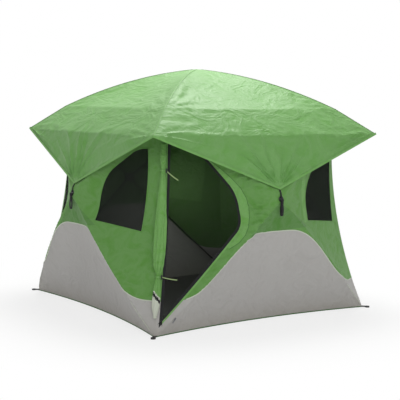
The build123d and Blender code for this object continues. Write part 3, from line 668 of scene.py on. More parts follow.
doorSet = {
    "low": 0.060, "high": 1.300, "edge": 0.016, "top": (-0.590, 1.300), "noseHigh": (-0.285, 0.930),
    "noseLow": (-0.268, 0.712),
    "highRound": 0.300, "lowRound": 0.170, "zipWidth": 0.016,
}
edgeSide = [(doorSet["edge"] - cornerReach(z), z) for z in np.linspace(doorSet["low"], doorSet["high"], 13)]
doorCorners = edgeSide + [doorSet["top"], doorSet["noseHigh"], doorSet["noseLow"]]
nose = len(doorCorners) - 1
doorLine = resampled(
    roundedOutline(doorCorners, {nose: doorSet["lowRound"], nose - 1: doorSet["highRound"]}), 0.011, True,
)
netLine = insetOutline(doorLine, doorSet["zipWidth"])
facingLine = insetOutline(doorLine, 0.0085)
bandLine = np.array(
    [
        (-0.470, 1.152), (-0.400, 1.095), (-0.330, 1.030), (-0.272, 0.965), (-0.236, 0.900), (-0.222, 0.835),
        (-0.226, 0.770), (-0.246, 0.705), (-0.280, 0.650), (-0.330, 0.600), (-0.395, 0.560),
    ]
)
crescent = np.vstack([bandLine, (-0.50, 0.90)])


def windowLine(inner, outer):
    corners = [(inner, 0.712), (outer, 0.665), (outer, 1.228), (inner + 0.300, 1.228), (inner, 1.000)]
    return resampled(roundedOutline(corners, {3: 0.150, 4: 0.300}), 0.011, True)


frontWindow = windowLine(0.315, 0.690)
sideWindow = windowLine(0.258, 0.622)
stripLine = np.array([(0.262, 0.702), (0.309, 0.704), (0.309, 1.16), (0.262, 1.16)])
gussetLine = np.array([(-0.012, 0.861), (-0.240, 0.632), (0.276, 0.679), (0.044, 0.830)])
wallSet = {
    "spacing": 0.0115, "front": {"billow": 0.0045, "fold": 0.0044, "crumple": 0.0018},
    "side": {"billow": 0.0040, "fold": 0.0036, "crumple": 0.0015},
}


def triangulated(lines, spacing):
    rim = [(-cornerReach(z), z) for z in np.linspace(tent["eaveZ"], 0, 131)]
    rim += [(x, 0.0) for x in np.linspace(-tent["floorHalf"], tent["floorHalf"], 162)[1:-1]]
    rim += [(cornerReach(z), z) for z in np.linspace(0, tent["eaveZ"], 131)]
    rim += [(x, tent["eaveZ"]) for x in np.linspace(tent["eaveHalf"], -tent["eaveHalf"], 131)[1:-1]]
    points, edges = [tuple(p) for p in rim], [(i, (i + 1) % len(rim)) for i in range(len(rim))]
    for line, closed in lines:
        line = resampled(line, spacing, closed)
        first = len(points)
        points += [tuple(p) for p in line]
        edges += [(first + i, first + i + 1) for i in range(len(line) - 1)]
        if closed:
            edges.append((len(points) - 1, first))
    known = nearestTree(points)
    row = spacing * math.sqrt(3) / 2
    for j in range(1, int(tent["eaveZ"] / row)):
        z = j * row
        reach = cornerReach(z) - spacing * 0.5
        start = -math.floor(reach / spacing) * spacing + (spacing / 2 if j % 2 else 0)
        x = start
        while x < reach:
            if known.find((x, z, 0))[2] > spacing * 0.55:
                points.append((x, z))
            x += spacing
    verts, _, faces, _, _, _ = delaunay_2d_cdt([Vector(p) for p in points], edges, [], 0, 1e-6)
    xz = np.array([tuple(v) for v in verts])
    faces = np.array([f for f in faces if len(f) == 3])
    a, b, c = xz[faces[:, 0]], xz[faces[:, 1]], xz[faces[:, 2]]
    area = (b[:, 0] - a[:, 0]) * (c[:, 1] - a[:, 1]) - (c[:, 0] - a[:, 0]) * (b[:, 1] - a[:, 1])
    faces[area < 0] = faces[area < 0][:, ::-1]
    middles = xz[faces].mean(axis=1)
    good = (np.abs(area) > 1e-9) & (np.abs(middles[:, 0]) < cornerReach(middles[:, 1]) + 1e-5)
    return xz, faces[good], middles[good]


def wallShape(isFront):
    bell = np.array(bellLine(0.835))
    bellCut = [p for p in bell if abs(p[0]) <= cornerReach(p[1])]
    ends = cornerReach(0.224)
    bellCut = np.array([(-ends, 0.224)] + [tuple(p) for p in bellCut] + [(ends, 0.224)])
    lines = [(bellCut, False), (gussetLine, True)]
    if isFront:
        lines += [
            (doorLine, True), (facingLine, True), (netLine, True), (frontWindow, True), (stripLine, True),
            (bandLine, False),
        ]
    else:
        lines += [(sideWindow, True), (sideWindow * (-1, 1), True)]
    xz, faces, middles = triangulated(lines, wallSet["spacing"])
    found = [onWall(x, z) for x, z in xz]
    base = np.array([tuple(p) for p, _ in found])
    normals = vertexNormals(base, faces)
    below = inside(middles, np.array([(-1.0, -0.01)] + [tuple(p) for p in bellCut] + [(1.0, -0.01)]))
    label = np.where(below, "lower", "upper").astype("<U8")
    label[~below & inside(middles, gussetLine)] = "gusset"
    if isFront:
        label[~below & inside(middles, crescent)] = "band"
        label[~below & inside(middles, stripLine)] = "strip"
        label[inside(middles, frontWindow)] = "window"
        door = inside(middles, doorLine)
        label[door] = "zip"
        label[door & ~inside(middles, facingLine)] = "facing"
        label[inside(middles, netLine)] = "net"
        hinge = -np.array([cornerReach(z) for z in middles[:, 1]]) + doorSet["edge"] + doorSet["zipWidth"]
        label[np.isin(label, ("zip", "facing")) & (middles[:, 0] < hinge)] = "edge"
    else:
        label[inside(middles, sideWindow) | inside(middles, sideWindow * (-1, 1))] = "window"
    return {"xz": xz, "faces": faces, "base": base, "normals": normals, "label": label}


foldSet = {
    "fans": (
        (0.0, tent["hubZ"], 34, 0.26), (tent["floorHalf"], 0, 26, 0.34), (-tent["floorHalf"], 0, 26, 0.34),
        (tent["eaveHalf"], tent["eaveZ"], 22, 0.3), (-tent["eaveHalf"], tent["eaveZ"], 22, 0.3),
    ),
    "fanShare": 0.6, "fanSway": 5, "billowScale": 2.4, "fineScale": 31, "fineShare": 0.4, "ridge": 2.2,
    "rimStill": 0.10, "hubStill": (0.03, 0.08), "doorStill": 0.035,
    "seamX": -0.62, "seamZ": 0.80, "seamRadius": 0.46, "seamReach": 0.085, "puckers": 54, "pucker": 0.0068,
    "crest": 0.007, "crestEdge": 0.022,
}


def wallFolds(shape, isFront, seed):
    # billow, folds that run from the hub and the corners, and fine crumples, still at rims and openings
    amounts = wallSet["front" if isFront else "side"]
    xz = shape["xz"]
    x, z = xz[:, 0], xz[:, 1]
    reach = np.array([cornerReach(v) for v in z])
    rimGap = np.minimum(np.minimum(z, tent["eaveZ"] - z), reach - np.abs(x))
    still = smooth(0.0, foldSet["rimStill"], rimGap) * smooth(*foldSet["hubStill"], np.hypot(x, z - tent["hubZ"]))
    height = np.zeros(len(xz))
    for i, (px, pz) in enumerate(xz):
        wide, small = foldSet["billowScale"], foldSet["fineScale"]
        height[i] += amounts["billow"] * noise.noise((px * wide, pz * wide, seed * 7.3))
        ridged = 1 - foldSet["ridge"] * abs(noise.noise((px * 9 + pz * 3, pz * 11 - px * 4, seed * 3.1)))
        fine = foldSet["fineShare"] * amounts["crumple"] * noise.noise((px * small, pz * small, seed))
        height[i] += amounts["crumple"] * max(ridged, 0.0) + fine
    for cx, cz, count, spread in foldSet["fans"]:
        angle = np.arctan2(z - cz, x - cx)
        away = np.hypot(x - cx, z - cz)
        sway = np.array([noise.noise((a * 1.7, r * 2.2, seed * 5 + cx)) for a, r in zip(angle, away)])
        waves = np.sin(angle * count + foldSet["fanSway"] * sway)
        height += amounts["fold"] * foldSet["fanShare"] * waves * np.exp(-((away / spread) ** 2)) * (0.5 + sway)
    if isFront:
        # puckers along the curved seam beside the door
        dx, dz = x - foldSet["seamX"], z - foldSet["seamZ"]
        angle, away = np.arctan2(dz, dx), np.hypot(dx, dz)
        beside = np.exp(-(((away - foldSet["seamRadius"]) / foldSet["seamReach"]) ** 2))
        beside = beside * smooth(-0.9, -0.2, angle) * smooth(1.1, 0.5, angle)
        sway = np.array([noise.noise((a * 3.0, r * 9.0, 4.2)) for a, r in zip(angle, away)])
        height += foldSet["pucker"] * np.sin(angle * foldSet["puckers"] + 7 * sway) * beside
        door = nearestTree(doorLine)
        gap = np.array([door.find((px, pz, 0))[2] for px, pz in xz])
        within = inside(xz, doorLine)
        still *= np.where(within, smooth(0.0, foldSet["rimStill"], gap) * 0.5, smooth(0.0, foldSet["doorStill"], gap))
        crest = np.zeros(len(xz))
        onBand = inside(xz, crescent) & ~within
        line = nearestTree(resampled(bandLine, 0.01, False))
        toSeam = np.array([line.find((px, pz, 0))[2] if on else 0.0 for (px, pz), on in zip(xz, onBand)])
        rise = smooth(0.0, foldSet["crestEdge"], toSeam[onBand]) * smooth(-0.002, 0.02, gap[onBand])
        crest[onBand] = foldSet["crest"] * rise
        return height * still + crest
    return height * still


def linkMesh(name, points, faces, uvs, materials, faceMaterials=None):
    mesh = bpy.data.meshes.new(name)
    mesh.from_pydata([tuple(map(float, p)) for p in points], [], [tuple(map(int, f)) for f in faces])
    layer = mesh.uv_layers.new(name="cloth")
    loops = np.zeros(len(mesh.loops), int)
    mesh.loops.foreach_get("vertex_index", loops)
    layer.data.foreach_set("uv", np.asarray(uvs, float)[loops].ravel())
    for material in materials:
        mesh.materials.append(material)
    if faceMaterials is not None:
        mesh.polygons.foreach_set("material_index", np.asarray(faceMaterials, int))
    mesh.update()
    piece = bpy.data.objects.new(name, mesh)
    bpy.context.scene.collection.objects.link(piece)
    bpy.ops.object.select_all(action="DESELECT")
    piece.select_set(True)
    bpy.context.view_layer.objects.active = piece
    bpy.ops.object.shade_smooth_by_angle(angle=math.radians(48))
    return piece


def sheetMesh(name, outer, normals, faces, uvs, materials, faceMaterials=None, thickness=0.0015):
    # outer and inner skins, closed along every open edge
    used, faces = np.unique(faces, return_inverse=True)
    faces = faces.reshape(-1, 3)
    outer, normals, uvs = outer[used], normals[used], np.asarray(uvs)[used]
    count = len(used)
    points = np.concatenate([outer, outer - normals * thickness])
    edges = np.concatenate([faces[:, [0, 1]], faces[:, [1, 2]], faces[:, [2, 0]]])
    owner = np.tile(np.arange(len(faces)), 3)
    pairs = {}
    for (a, b), f in zip(edges.tolist(), owner.tolist()):
        pairs[(a, b)] = f
    rim = [(a, b, f) for (a, b), f in pairs.items() if (b, a) not in pairs]
    sides = [(b, a, a + count, b + count) for a, b, f in rim]
    allFaces = faces.tolist() + (faces[:, ::-1] + count).tolist() + sides
    if faceMaterials is not None:
        faceMaterials = np.concatenate([faceMaterials, faceMaterials, [faceMaterials[f] for _, _, f in rim]])
    return linkMesh(name, points, allFaces, np.concatenate([uvs, uvs]), materials, faceMaterials)


def ribbonMesh(name, path, facing, width, thick, materials, closed=False, taper=None):
    # a flat strap with rounded edges along a path; facing is its outward direction at each point
    path, facing = np.array(path, float), np.array(facing, float)
    ahead = (np.roll(path, -1, axis=0) - np.roll(path, 1, axis=0)) if closed else np.gradient(path, axis=0)
    ahead /= np.linalg.norm(ahead, axis=1)[:, None] + 1e-12
    facing = facing - ahead * (facing * ahead).sum(axis=1)[:, None]
    facing /= np.linalg.norm(facing, axis=1)[:, None] + 1e-12
    side = np.cross(ahead, facing)
    section = [
        (-0.5, 0.0), (-0.5, 0.6), (-0.42, 1.0), (0.42, 1.0), (0.5, 0.6), (0.5, 0.0), (0.42, -0.0), (-0.42, -0.0),
    ]
    points, uvs = [], []
    run = np.concatenate([[0], np.cumsum(np.linalg.norm(np.diff(path, axis=0), axis=1))])
    for i in range(len(path)):
        w = width * (taper[i] if taper is not None else 1.0)
        for a, b in section:
            points.append(path[i] + side[i] * a * w + facing[i] * b * thick)
            uvs.append((run[i], a * width))
    n, m, faces = len(path), len(section), []
    for i in range(n if closed else n - 1):
        for k in range(m):
            a, b = i * m + k, i * m + (k + 1) % m
            c, d = ((i + 1) % n) * m + (k + 1) % m, ((i + 1) % n) * m + k
            faces.append((a, b, c, d))
    if not closed:
        faces += [tuple(range(m))[::-1], tuple(range((n - 1) * m, n * m))]
    return linkMesh(name, points, faces, uvs, materials)


def wallBlend(piece):
    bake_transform(piece)


def opened(ring):
    # a ring with a stretch left out, starting after its widest gap
    first = max(range(len(ring)), key=lambda i: np.linalg.norm(ring[i] - ring[i - 1]))
    return ring[first:] + ring[:first]


def tapeOnWall(line, shape, spacing=0.012, closed=False):
    # path and facing of a tape sewn on a wall, on the folded surface
    line = resampled(line, spacing, closed)
    points, facing = [], []
    for x, z in line:
        _, index, _ = shape["near"].find((x, z, 0))
        point, _ = onWall(x, z)
        points.append(np.array(point) + shape["normals"][index] * shape["height"][index])
        facing.append(shape["normals"][index])
    return np.array(points), np.array(facing)


frontShape = wallShape(True)
sideShape = wallShape(False)
print("stage 4: wall panels", len(frontShape["faces"]), len(sideShape["faces"]))

tapeSet = {
    "bellPiping": (0.007, 0.0016), "floorHem": (0.008, 0.0016), "windowBinding": (0.009, 0.0014),
    "bandSeam": (0.003, 0.0012), "footSeam": (0.005, 0.0012),
}
labelSlots = {"upper": 0, "band": 1, "strip": 1, "gusset": 2}
for side, turns in turnsOf.items():
    isFront = side == "front"
    shape = dict(frontShape if isFront else sideShape)
    shape["height"] = wallFolds(shape, isFront, turns + 1.0)
    shape["near"] = nearestTree(shape["xz"])
    outer = turned(shape["base"] + shape["normals"] * shape["height"][:, None], turns)
    normals = turned(shape["normals"], turns)
    title = side.capitalize()
    label = shape["label"]
    upper = np.isin(label, ("upper", "band", "strip", "gusset"))
    piece = sheetMesh(
        "wall" + title + "Upper", outer, normals, shape["faces"][upper], shape["xz"],
        [wallGreen, bandGreen, shadeGreen], np.array([labelSlots[v] for v in label[upper]]),
    )
    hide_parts(f"wall_{side}_upper")
    wallBlend(piece)
    piece = sheetMesh(
        "wall" + title + "Lower", outer, normals, shape["faces"][label == "lower"], shape["xz"], [skirtGrey],
    )
    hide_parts(f"wall_{side}_lower")
    wallBlend(piece)
    piece = sheetMesh(
        "windows" + title, outer, normals, shape["faces"][label == "window"], shape["xz"], [windowNet],
        thickness=0.0008,
    )
    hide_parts("window_meshes")
    wallBlend(piece)
    if side in ("right", "back"):
        shade = sheetMesh(
            "windowShade" + title, outer - normals * 0.004, normals, shape["faces"][label == "window"], shape["xz"],
            [bandGreen], thickness=0.0010,
        )
        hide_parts("window_meshes")
        wallBlend(shade)
    # piping, hem and window binding
    bell = [p for p in bellLine(0.835) if abs(p[0]) < cornerReach(p[1]) - 0.002 and (not isFront or p[0] > -0.715)]
    hemLine = [(x, 0.004) for x in np.linspace(-0.915, 0.915, 90)]
    tapes = [("bellPiping", bell, pipingPale, False), ("floorHem", hemLine, hemDark, False)]
    panes = [frontWindow] if isFront else [sideWindow, sideWindow * (-1, 1)]
    for k, pane in enumerate(panes):
        tapes.append((f"windowBinding{k}", insetOutline(pane, -0.004), wallGreen, True))
    if isFront:
        tapes.append(("bandSeam", bandLine, hemDark, False))
    for k, way in enumerate((-1, 1)):
        foot = np.array((way * 0.885, 0.038))
        if not (isFront and way < 0):
            upper = foot * 0.80 + np.array((0, tent["hubZ"])) * 0.20
            tapes.append((f"footSeam{k}", [foot, upper], pipingPale, False))
    for tapeName, line, material, closed in tapes:
        width, thick = tapeSet[tapeName.rstrip("01")]
        path, facing = tapeOnWall(line, shape, closed=closed)
        piece = ribbonMesh(
            tapeName + title, turned(path, turns), turned(facing, turns), width, thick, [material], closed=closed,
        )
        wallBlend(piece)
    if isFront:
        outerFront, normalsFront = outer, normals
        frontWall = shape
print("stage 5: walls and windows")

# the netting door, its zip and the tape along its hinge; a pair is a width and a thickness
closure = {
    "spacing": 0.012, "lift": 0.0004, "zipThick": 0.0019, "coilIn": 0.0120, "coilGap": 0.004, "coil": (0.005, 0.0018),
    "netSink": 0.0002, "netThick": 0.0008, "borderIn": 0.0205, "borderGap": 0.03, "borderLift": 0.0002,
    "border": (0.008, 0.0014),
}
label = frontShape["label"]
taped = np.isin(label, ("zip", "facing"))
zipShape = sheetMesh(
    "doorZip", outerFront + normalsFront * closure["lift"], normalsFront, frontShape["faces"][taped],
    frontShape["xz"], [zipTape, bandGreen], (label[taped] == "facing").astype(int), thickness=closure["zipThick"],
)
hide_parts("door_zip")
wallBlend(zipShape)
coil = [
    p
    for p in resampled(insetOutline(doorLine, closure["coilIn"]), closure["spacing"], True)
    if p[0] > doorSet["edge"] + doorSet["zipWidth"] - cornerReach(p[1]) + closure["coilGap"]
]
path, facing = tapeOnWall(opened(coil), frontWall)
coilPiece = ribbonMesh("doorZipCoil", path + facing * closure["lift"], facing, *closure["coil"], [zipTape])
wallBlend(coilPiece)
edgePiece = sheetMesh(
    "doorEdgeTape", outerFront, normalsFront, frontShape["faces"][label == "edge"], frontShape["xz"], [zipTape],
)
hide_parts("door_edge_tape")
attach(edgePiece, "door_edge")
meshDoor = sheetMesh(
    "meshDoor", outerFront - normalsFront * closure["netSink"], normalsFront, frontShape["faces"][label == "net"],
    frontShape["xz"], [doorNet], thickness=closure["netThick"],
)
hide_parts("mesh_door")
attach(meshDoor, "mesh_door")
sill = [
    p
    for p in resampled(insetOutline(doorLine, closure["borderIn"]), closure["spacing"], True)
    if p[0] > doorSet["edge"] + closure["borderGap"] - cornerReach(p[1])
]
path, facing = tapeOnWall(opened(sill), frontWall)
border = ribbonMesh("meshDoorBorder", path + facing * closure["borderLift"], facing, *closure["border"], [zipTape])
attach(border, "mesh_door")

# the roof panel under the fly
roofSet = {"rows": 26, "steps": 24, "bulge": 0.038, "sag": 0.002}
rim = []
for turns in range(4):
    for i in range(roofSet["steps"]):
        t = -1 + 2 * i / roofSet["steps"]
        out = tent["eaveHalf"] - tent["eaveBow"] * (1 - t * t)
        rim.append((turned([(tent["eaveHalf"] * t, -out, tent["eaveZ"])], turns)[0], t * t))
points = [np.array((0, 0, tent["roofZ"]))]
for j in range(roofSet["rows"] + 1):
    t = j / roofSet["rows"]
    for point, weight in rim:
        start = np.array((point[0], point[1], 0.0))
        start = start / np.linalg.norm(start) * tent["discRadius"] + (0, 0, tent["roofZ"])
        at = start + (point - start) * t
        wave = roofSet["sag"] * noise.noise(tuple(at * 4))
        at[2] += roofSet["bulge"] * weight * 4 * t * (1 - t) + wave * 4 * t * (1 - t)
        points.append(at)
points, faces = np.array(points), np.array(fanFaces(len(rim), roofSet["rows"]))
normals = np.tile((0.0, 0.0, 1.0), (len(points), 1))
roof = sheetMesh("roofPanel", points, normals, faces, points[:, :2], [roofGreen])
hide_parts("roof_panel")
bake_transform(roof)


def turnOf(a, b, c):
    # positive where the corners run anticlockwise
    return (b - a)[0] * (c - a)[1] - (c - a)[0] * (b - a)[1]


# the floor, with the slack of a coated sheet lying on the ground
groundSet = {"spacing": 0.03, "ripple": 0.0022, "thick": 0.0012, "lift": 0.0004}
groundRim = []
for turns in range(4):
    ring = [
        (tent["floorHalf"] * t * 0.9975, (tent["floorBow"] * (1 - t * t) - tent["floorHalf"]) * 0.9975, 0)
        for t in np.linspace(-1, 1, 61)[:-1]
    ]
    groundRim += [tuple(p) for p in turned(ring, turns)[:, :2]]
points = list(groundRim)
outline = np.array(groundRim)
for x in np.arange(-0.92, 0.921, groundSet["spacing"]):
    for y in np.arange(-0.92, 0.921, groundSet["spacing"]):
        if inside(np.array([(x * 1.012, y * 1.012)]), outline)[0]:
            points.append((x, y))
verts, _, cells, _, _, _ = delaunay_2d_cdt(
    [Vector(p) for p in points], [(i, (i + 1) % len(groundRim)) for i in range(len(groundRim))], [], 1, 1e-6,
)
flat = np.array([tuple(v) for v in verts])
faces = np.array([c if turnOf(*flat[list(c)]) > 0 else c[::-1] for c in cells])
ripple = np.array(
    [max(0.0, noise.noise((x * 6, y * 6, 1.5)) + 0.5 * noise.noise((x * 17, y * 17, 3.5))) for x, y in flat]
)
points = np.column_stack([flat, groundSet["thick"] + groundSet["lift"] + groundSet["ripple"] * ripple])
ground = sheetMesh(
    "groundSheet", points, np.tile((0.0, 0.0, 1.0), (len(points), 1)), faces, flat, [floorBlack],
    thickness=groundSet["thick"],
)
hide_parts("floor_panel")
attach(ground, "tent")
print("stage 6: door, roof and floor")

# the rain fly: vaulted crown, sloping brim and pointed flaps
flySet = {
    "apex": 1.799, "kinkHalf": 0.757, "kinkZ": 1.502, "tipHalf": 0.971, "tipZ": 1.322, "pointOut": 1.052,
    "pointZ": 0.955, "bow": 0.051, "sag": 0.036,
    "sagShape": 6.75,
    "crownRows": 54, "brimRows": 18, "flapRows": 40, "columns": 104, "billow": 0.006, "fold": 0.0150,
    "crumple": 0.0052, "calm": (1.0, 0.7, 0.6, 0.45), "cloth": 0.0015,
    "hem": (0.016, 0.0016), "seam": (0.009, 0.0012),
}


def flyPoint(row, u):
    # row 0..1 crown, 1..2 brim, 2..3 flap
    if row <= 1:
        half = flySet["kinkHalf"] * row
        # sagShape brings the deepest sag, two thirds of the way out, to the full amount
        sag = flySet["sag"] * flySet["sagShape"] * row * row * (1 - row) * (1 - u * u)
        rise = flySet["bow"] * 4 * row * (1 - row) - sag
        return np.array((half * u, -half, lerp(flySet["apex"], flySet["kinkZ"], row) + rise))
    if row <= 2:
        half = lerp(flySet["kinkHalf"], flySet["tipHalf"], row - 1)
        return np.array((half * u, -half, lerp(flySet["kinkZ"], flySet["tipZ"], row - 1)))
    t = row - 2
    return np.array(
        (
            flySet["tipHalf"] * u * (1 - t), -lerp(flySet["tipHalf"], flySet["pointOut"], t),
            lerp(flySet["tipZ"], flySet["pointZ"], t),
        )
    )


def crisp(angle):
    # narrow crests with wide valleys, between -1 and 1
    return 1 - 2 * abs(math.sin(angle / 2)) ** 0.65


bendFan = {"folds": 34, "height": 0.0032, "reach": 0.27, "gatherReach": 0.36}
tipFan = {"folds": 24, "sway": 4.5, "turn": 2.0, "run": 1.6, "share": 0.7, "reach": 0.60, "still": (0.02, 0.16)}
pointFan = {"folds": 17, "sway": 5, "turn": 2.4, "run": 2.0, "share": 0.9, "reach": 0.5, "still": (0.015, 0.12)}


def fanFold(height, fan, away, angle, seed):
    sway = noise.noise((angle * fan["turn"], away * fan["run"], seed))
    crest = height * fan["share"] * crisp(angle * fan["folds"] + fan["sway"] * sway)
    return crest * math.exp(-((away / fan["reach"]) ** 2)) * smooth(*fan["still"], away)


def flyFold(row, u, p, turns):
    # crumples gather at the bend's ends, long folds run from the tips and the point over the flap
    seed = turns * 3.7 + 1.0
    calm = flySet["calm"][turns]
    height = flySet["billow"] * noise.noise((p[0] * 2.1, p[1] * 2.1, p[2] * 2.1 + seed)) * min(row * 2, 1.0)
    ridged = max(0.0, 1 - 3.0 * abs(noise.noise((p[0] * 6 + seed, p[1] * 6, p[2] * 11))))
    fine = noise.noise((p[0] * 34 + seed, p[1] * 34, p[2] * 44))
    if row <= 2:
        fromKink = math.hypot(abs(u) * flySet["kinkHalf"] - flySet["kinkHalf"], (row - 1) * 0.6)
        middle = float(smooth(0.55, 0.95, row)) * (0.25 + 0.45 * max(0.0, u))
        gather = (0.10 + middle + 1.0 * math.exp(-((fromKink / bendFan["gatherReach"]) ** 2))) * calm
        height += flySet["crumple"] * gather * (0.9 * ridged + 0.4 * fine) * min(row * 3, 1.0)
        along = math.atan2(p[2] - flySet["kinkZ"], flySet["kinkHalf"] - abs(p[0]) + 1e-6)
        waves = math.sin(along * bendFan["folds"] + 6 * noise.noise((p[0] * 3, seed, p[2] * 3)))
        height += bendFan["height"] * calm * waves * math.exp(-((fromKink / bendFan["reach"]) ** 2))
    if row >= 1.55:
        blend = smooth(1.55, 2.05, row)
        for way in (-1, 1):
            dx, dz = flySet["tipHalf"] - way * p[0], flySet["tipZ"] + 0.02 - p[2]
            away, angle = math.hypot(dx, dz), math.atan2(dz, dx + 1e-6)
            height += fanFold(blend * flySet["fold"], tipFan, away, angle, seed + way)
        dx, dz = p[0], p[2] - flySet["pointZ"]
        away, angle = math.hypot(dx, dz), math.atan2(dz, dx + 1e-9)
        height += fanFold(blend * flySet["fold"], pointFan, away, angle, seed + 9)
        height += blend * flySet["crumple"] * (0.6 * ridged + 0.3 * fine)
    edge = smooth(0.0, 0.10, (1 - abs(u)) * (row if row < 2 else 3 - row))
    hem = smooth(0.0, 0.05, 3 - row) if row > 2 else 1.0
    return height * float(edge) * float(hem)


rowsOfFly = [k / flySet["crownRows"] for k in range(flySet["crownRows"] + 1)]
rowsOfFly += [1 + k / flySet["brimRows"] for k in range(1, flySet["brimRows"] + 1)]
rowsOfFly += [2 + k / flySet["flapRows"] for k in range(1, flySet["flapRows"] + 1)]
columns = flySet["columns"]
us = np.linspace(-1, 1, columns + 1)
allPoints, allFaces, allUvs, allFolds, merged = [], [], [], [], {}
for turns in range(4):
    ids = []
    for row in rowsOfFly:
        line = []
        for u in us:
            p = flyPoint(row, u)
            at = turned([p], turns)[0]
            key = tuple(np.round(at, 6) + 0.0)
            if key not in merged:
                merged[key] = len(allPoints)
                allPoints.append(at)
                allUvs.append((p[0] + turns * 2.3, -1.05 * p[1] - p[2]))
                allFolds.append(flyFold(row, u, p, turns))
            line.append(merged[key])
        ids.append(line)
    for near, far in zip(ids, ids[1:]):
        for i in range(columns):
            for face in ((near[i], far[i], far[i + 1]), (near[i], far[i + 1], near[i + 1])):
                if len(set(face)) == 3:
                    allFaces.append(face)
points, faces = np.array(allPoints), np.array(allFaces)
normals = vertexNormals(points, faces)
points = points + normals * np.array(allFolds)[:, None]
fly = sheetMesh("rainFly", points, normals, faces, np.array(allUvs), [flyGreen], thickness=flySet["cloth"])
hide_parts("rain_fly")
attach(fly, "tent")

for side, turns in turnsOf.items():
    hem, out = [], []
    tips = flyPoint(2, -1), flyPoint(3, 0), flyPoint(2, 1)
    for a, b in ((tips[0], tips[1]), (tips[1], tips[2])):
        for t in np.linspace(0, 1, 50)[: 50 if a is tips[1] else 49]:
            hem.append(a + (b - a) * t + np.array((0, -0.0006, 0.004)))
            out.append((0, -0.976, 0.216))
    piece = ribbonMesh(
        "flyHem" + side.capitalize(), turned(hem, turns), turned(out, turns), *flySet["hem"], [hemGreen],
    )
    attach(piece, "tent")
    seam, out = [], []
    for row in np.linspace(0.03, 1.995, 90):
        p = flyPoint(row, 1)
        seam.append(p + np.array((0.0003, -0.0003, 0.0006)))
        out.append((0.35, -0.35, 0.86))
    piece = ribbonMesh(
        "flySeam" + side.capitalize(), turned(seam, turns), turned(out, turns), *flySet["seam"], [hemGreen],
    )
    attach(piece, "tent")
print("stage 7: rain fly")

# the outer door flap, rolled and tied beside the corner
rollSet = {
    "radii": (12, 30, 27, 16, 38, 46, 47, 46, 39, 32, 24, 15, 24, 18), "low": 0.120, "high": 1.262, "depth": 0.62,
    "stand": 0.0019, "shift": 0.009,
    "turns": 2.1, "rows": 150, "around": 130, "cloth": 0.0010, "core": 0.36, "fill": 0.88, "pleats": 0.22,
    "pleatCount": 8,
}


def rollCentre(share, steps=len(rollSet["radii"]) - 1):
    z = lerp(rollSet["low"], rollSet["high"], share)
    out = cornerReach(z)
    at = min(int(share * steps), steps - 1)
    part = share * steps - at
    radius = lerp(rollSet["radii"][at], rollSet["radii"][at + 1], part * part * (3 - 2 * part)) / 1000
    stand = rollSet["depth"] * radius + rollSet["stand"]
    return np.array(
        (-out - (stand + rollSet["shift"]) / math.sqrt(2), -out - (stand - rollSet["shift"]) / math.sqrt(2), z)
    ), radius


alongFlap, outOfFlap = np.array((1, -1, 0)) / math.sqrt(2), np.array((-1, -1, 0)) / math.sqrt(2)
tieShares = (3 / 13, 11 / 13)
points, uvs, normals, faces, slots = [], [], [], [], []
for j in range(rollSet["rows"] + 1):
    share = j / rollSet["rows"]
    centre, radius = rollCentre(share)
    tight = max(math.exp(-(((share - tie) / 0.09) ** 2)) for tie in tieShares)
    run = 0.0
    last = None
    for i in range(rollSet["around"] + 1):
        t = i / rollSet["around"]
        angle = math.pi * 0.62 - math.tau * rollSet["turns"] * (1 - t)
        right, up = math.cos(angle), math.sin(angle)
        wave = math.sin(angle * rollSet["pleatCount"] + 4.0 * noise.noise((right, up, share * 5)))
        uneven = 0.06 * noise.noise((right * 1.4, up * 1.4, share * 9))
        swell = 1 + rollSet["pleats"] * (0.55 + 0.9 * tight) * wave + uneven
        size = radius * rollSet["fill"] * lerp(rollSet["core"], 1.0, t ** 0.3) * min(swell, 1.12)
        p = centre + alongFlap * size * math.cos(angle) + outOfFlap * size * rollSet["depth"] * math.sin(angle)
        if last is not None:
            run += float(np.linalg.norm(p - last))
        last = p
        points.append(p)
        uvs.append((run, share * 1.2))
points = np.array(points)
width = rollSet["around"] + 1
grid = points.reshape(rollSet["rows"] + 1, width, 3)
outward = np.cross(np.gradient(grid, axis=1), np.gradient(grid, axis=0))
outward /= np.linalg.norm(outward, axis=2)[:, :, None] + 1e-12
for j in range(rollSet["rows"]):
    for i in range(rollSet["around"]):
        a, b = j * width + i, (j + 1) * width + i
        share = (j + 0.5) / rollSet["rows"] - 0.022 * math.sin(math.tau * i / rollSet["around"] * rollSet["turns"])
        slot = 1 if share < 0.105 else 2 if share < 0.125 else 1 if share < 0.135 else 0
        faces += [(a, a + 1, b + 1), (a, b + 1, b)]
        slots += [slot, slot]
flap = sheetMesh(
    "doorFlapRoll", points, outward.reshape(-1, 3), np.array(faces), np.array(uvs), [bandGreen, pipingPale, zipTape],
    np.array(slots), thickness=rollSet["cloth"],
)
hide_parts("door_flap_roll")
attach(flap, "tent")

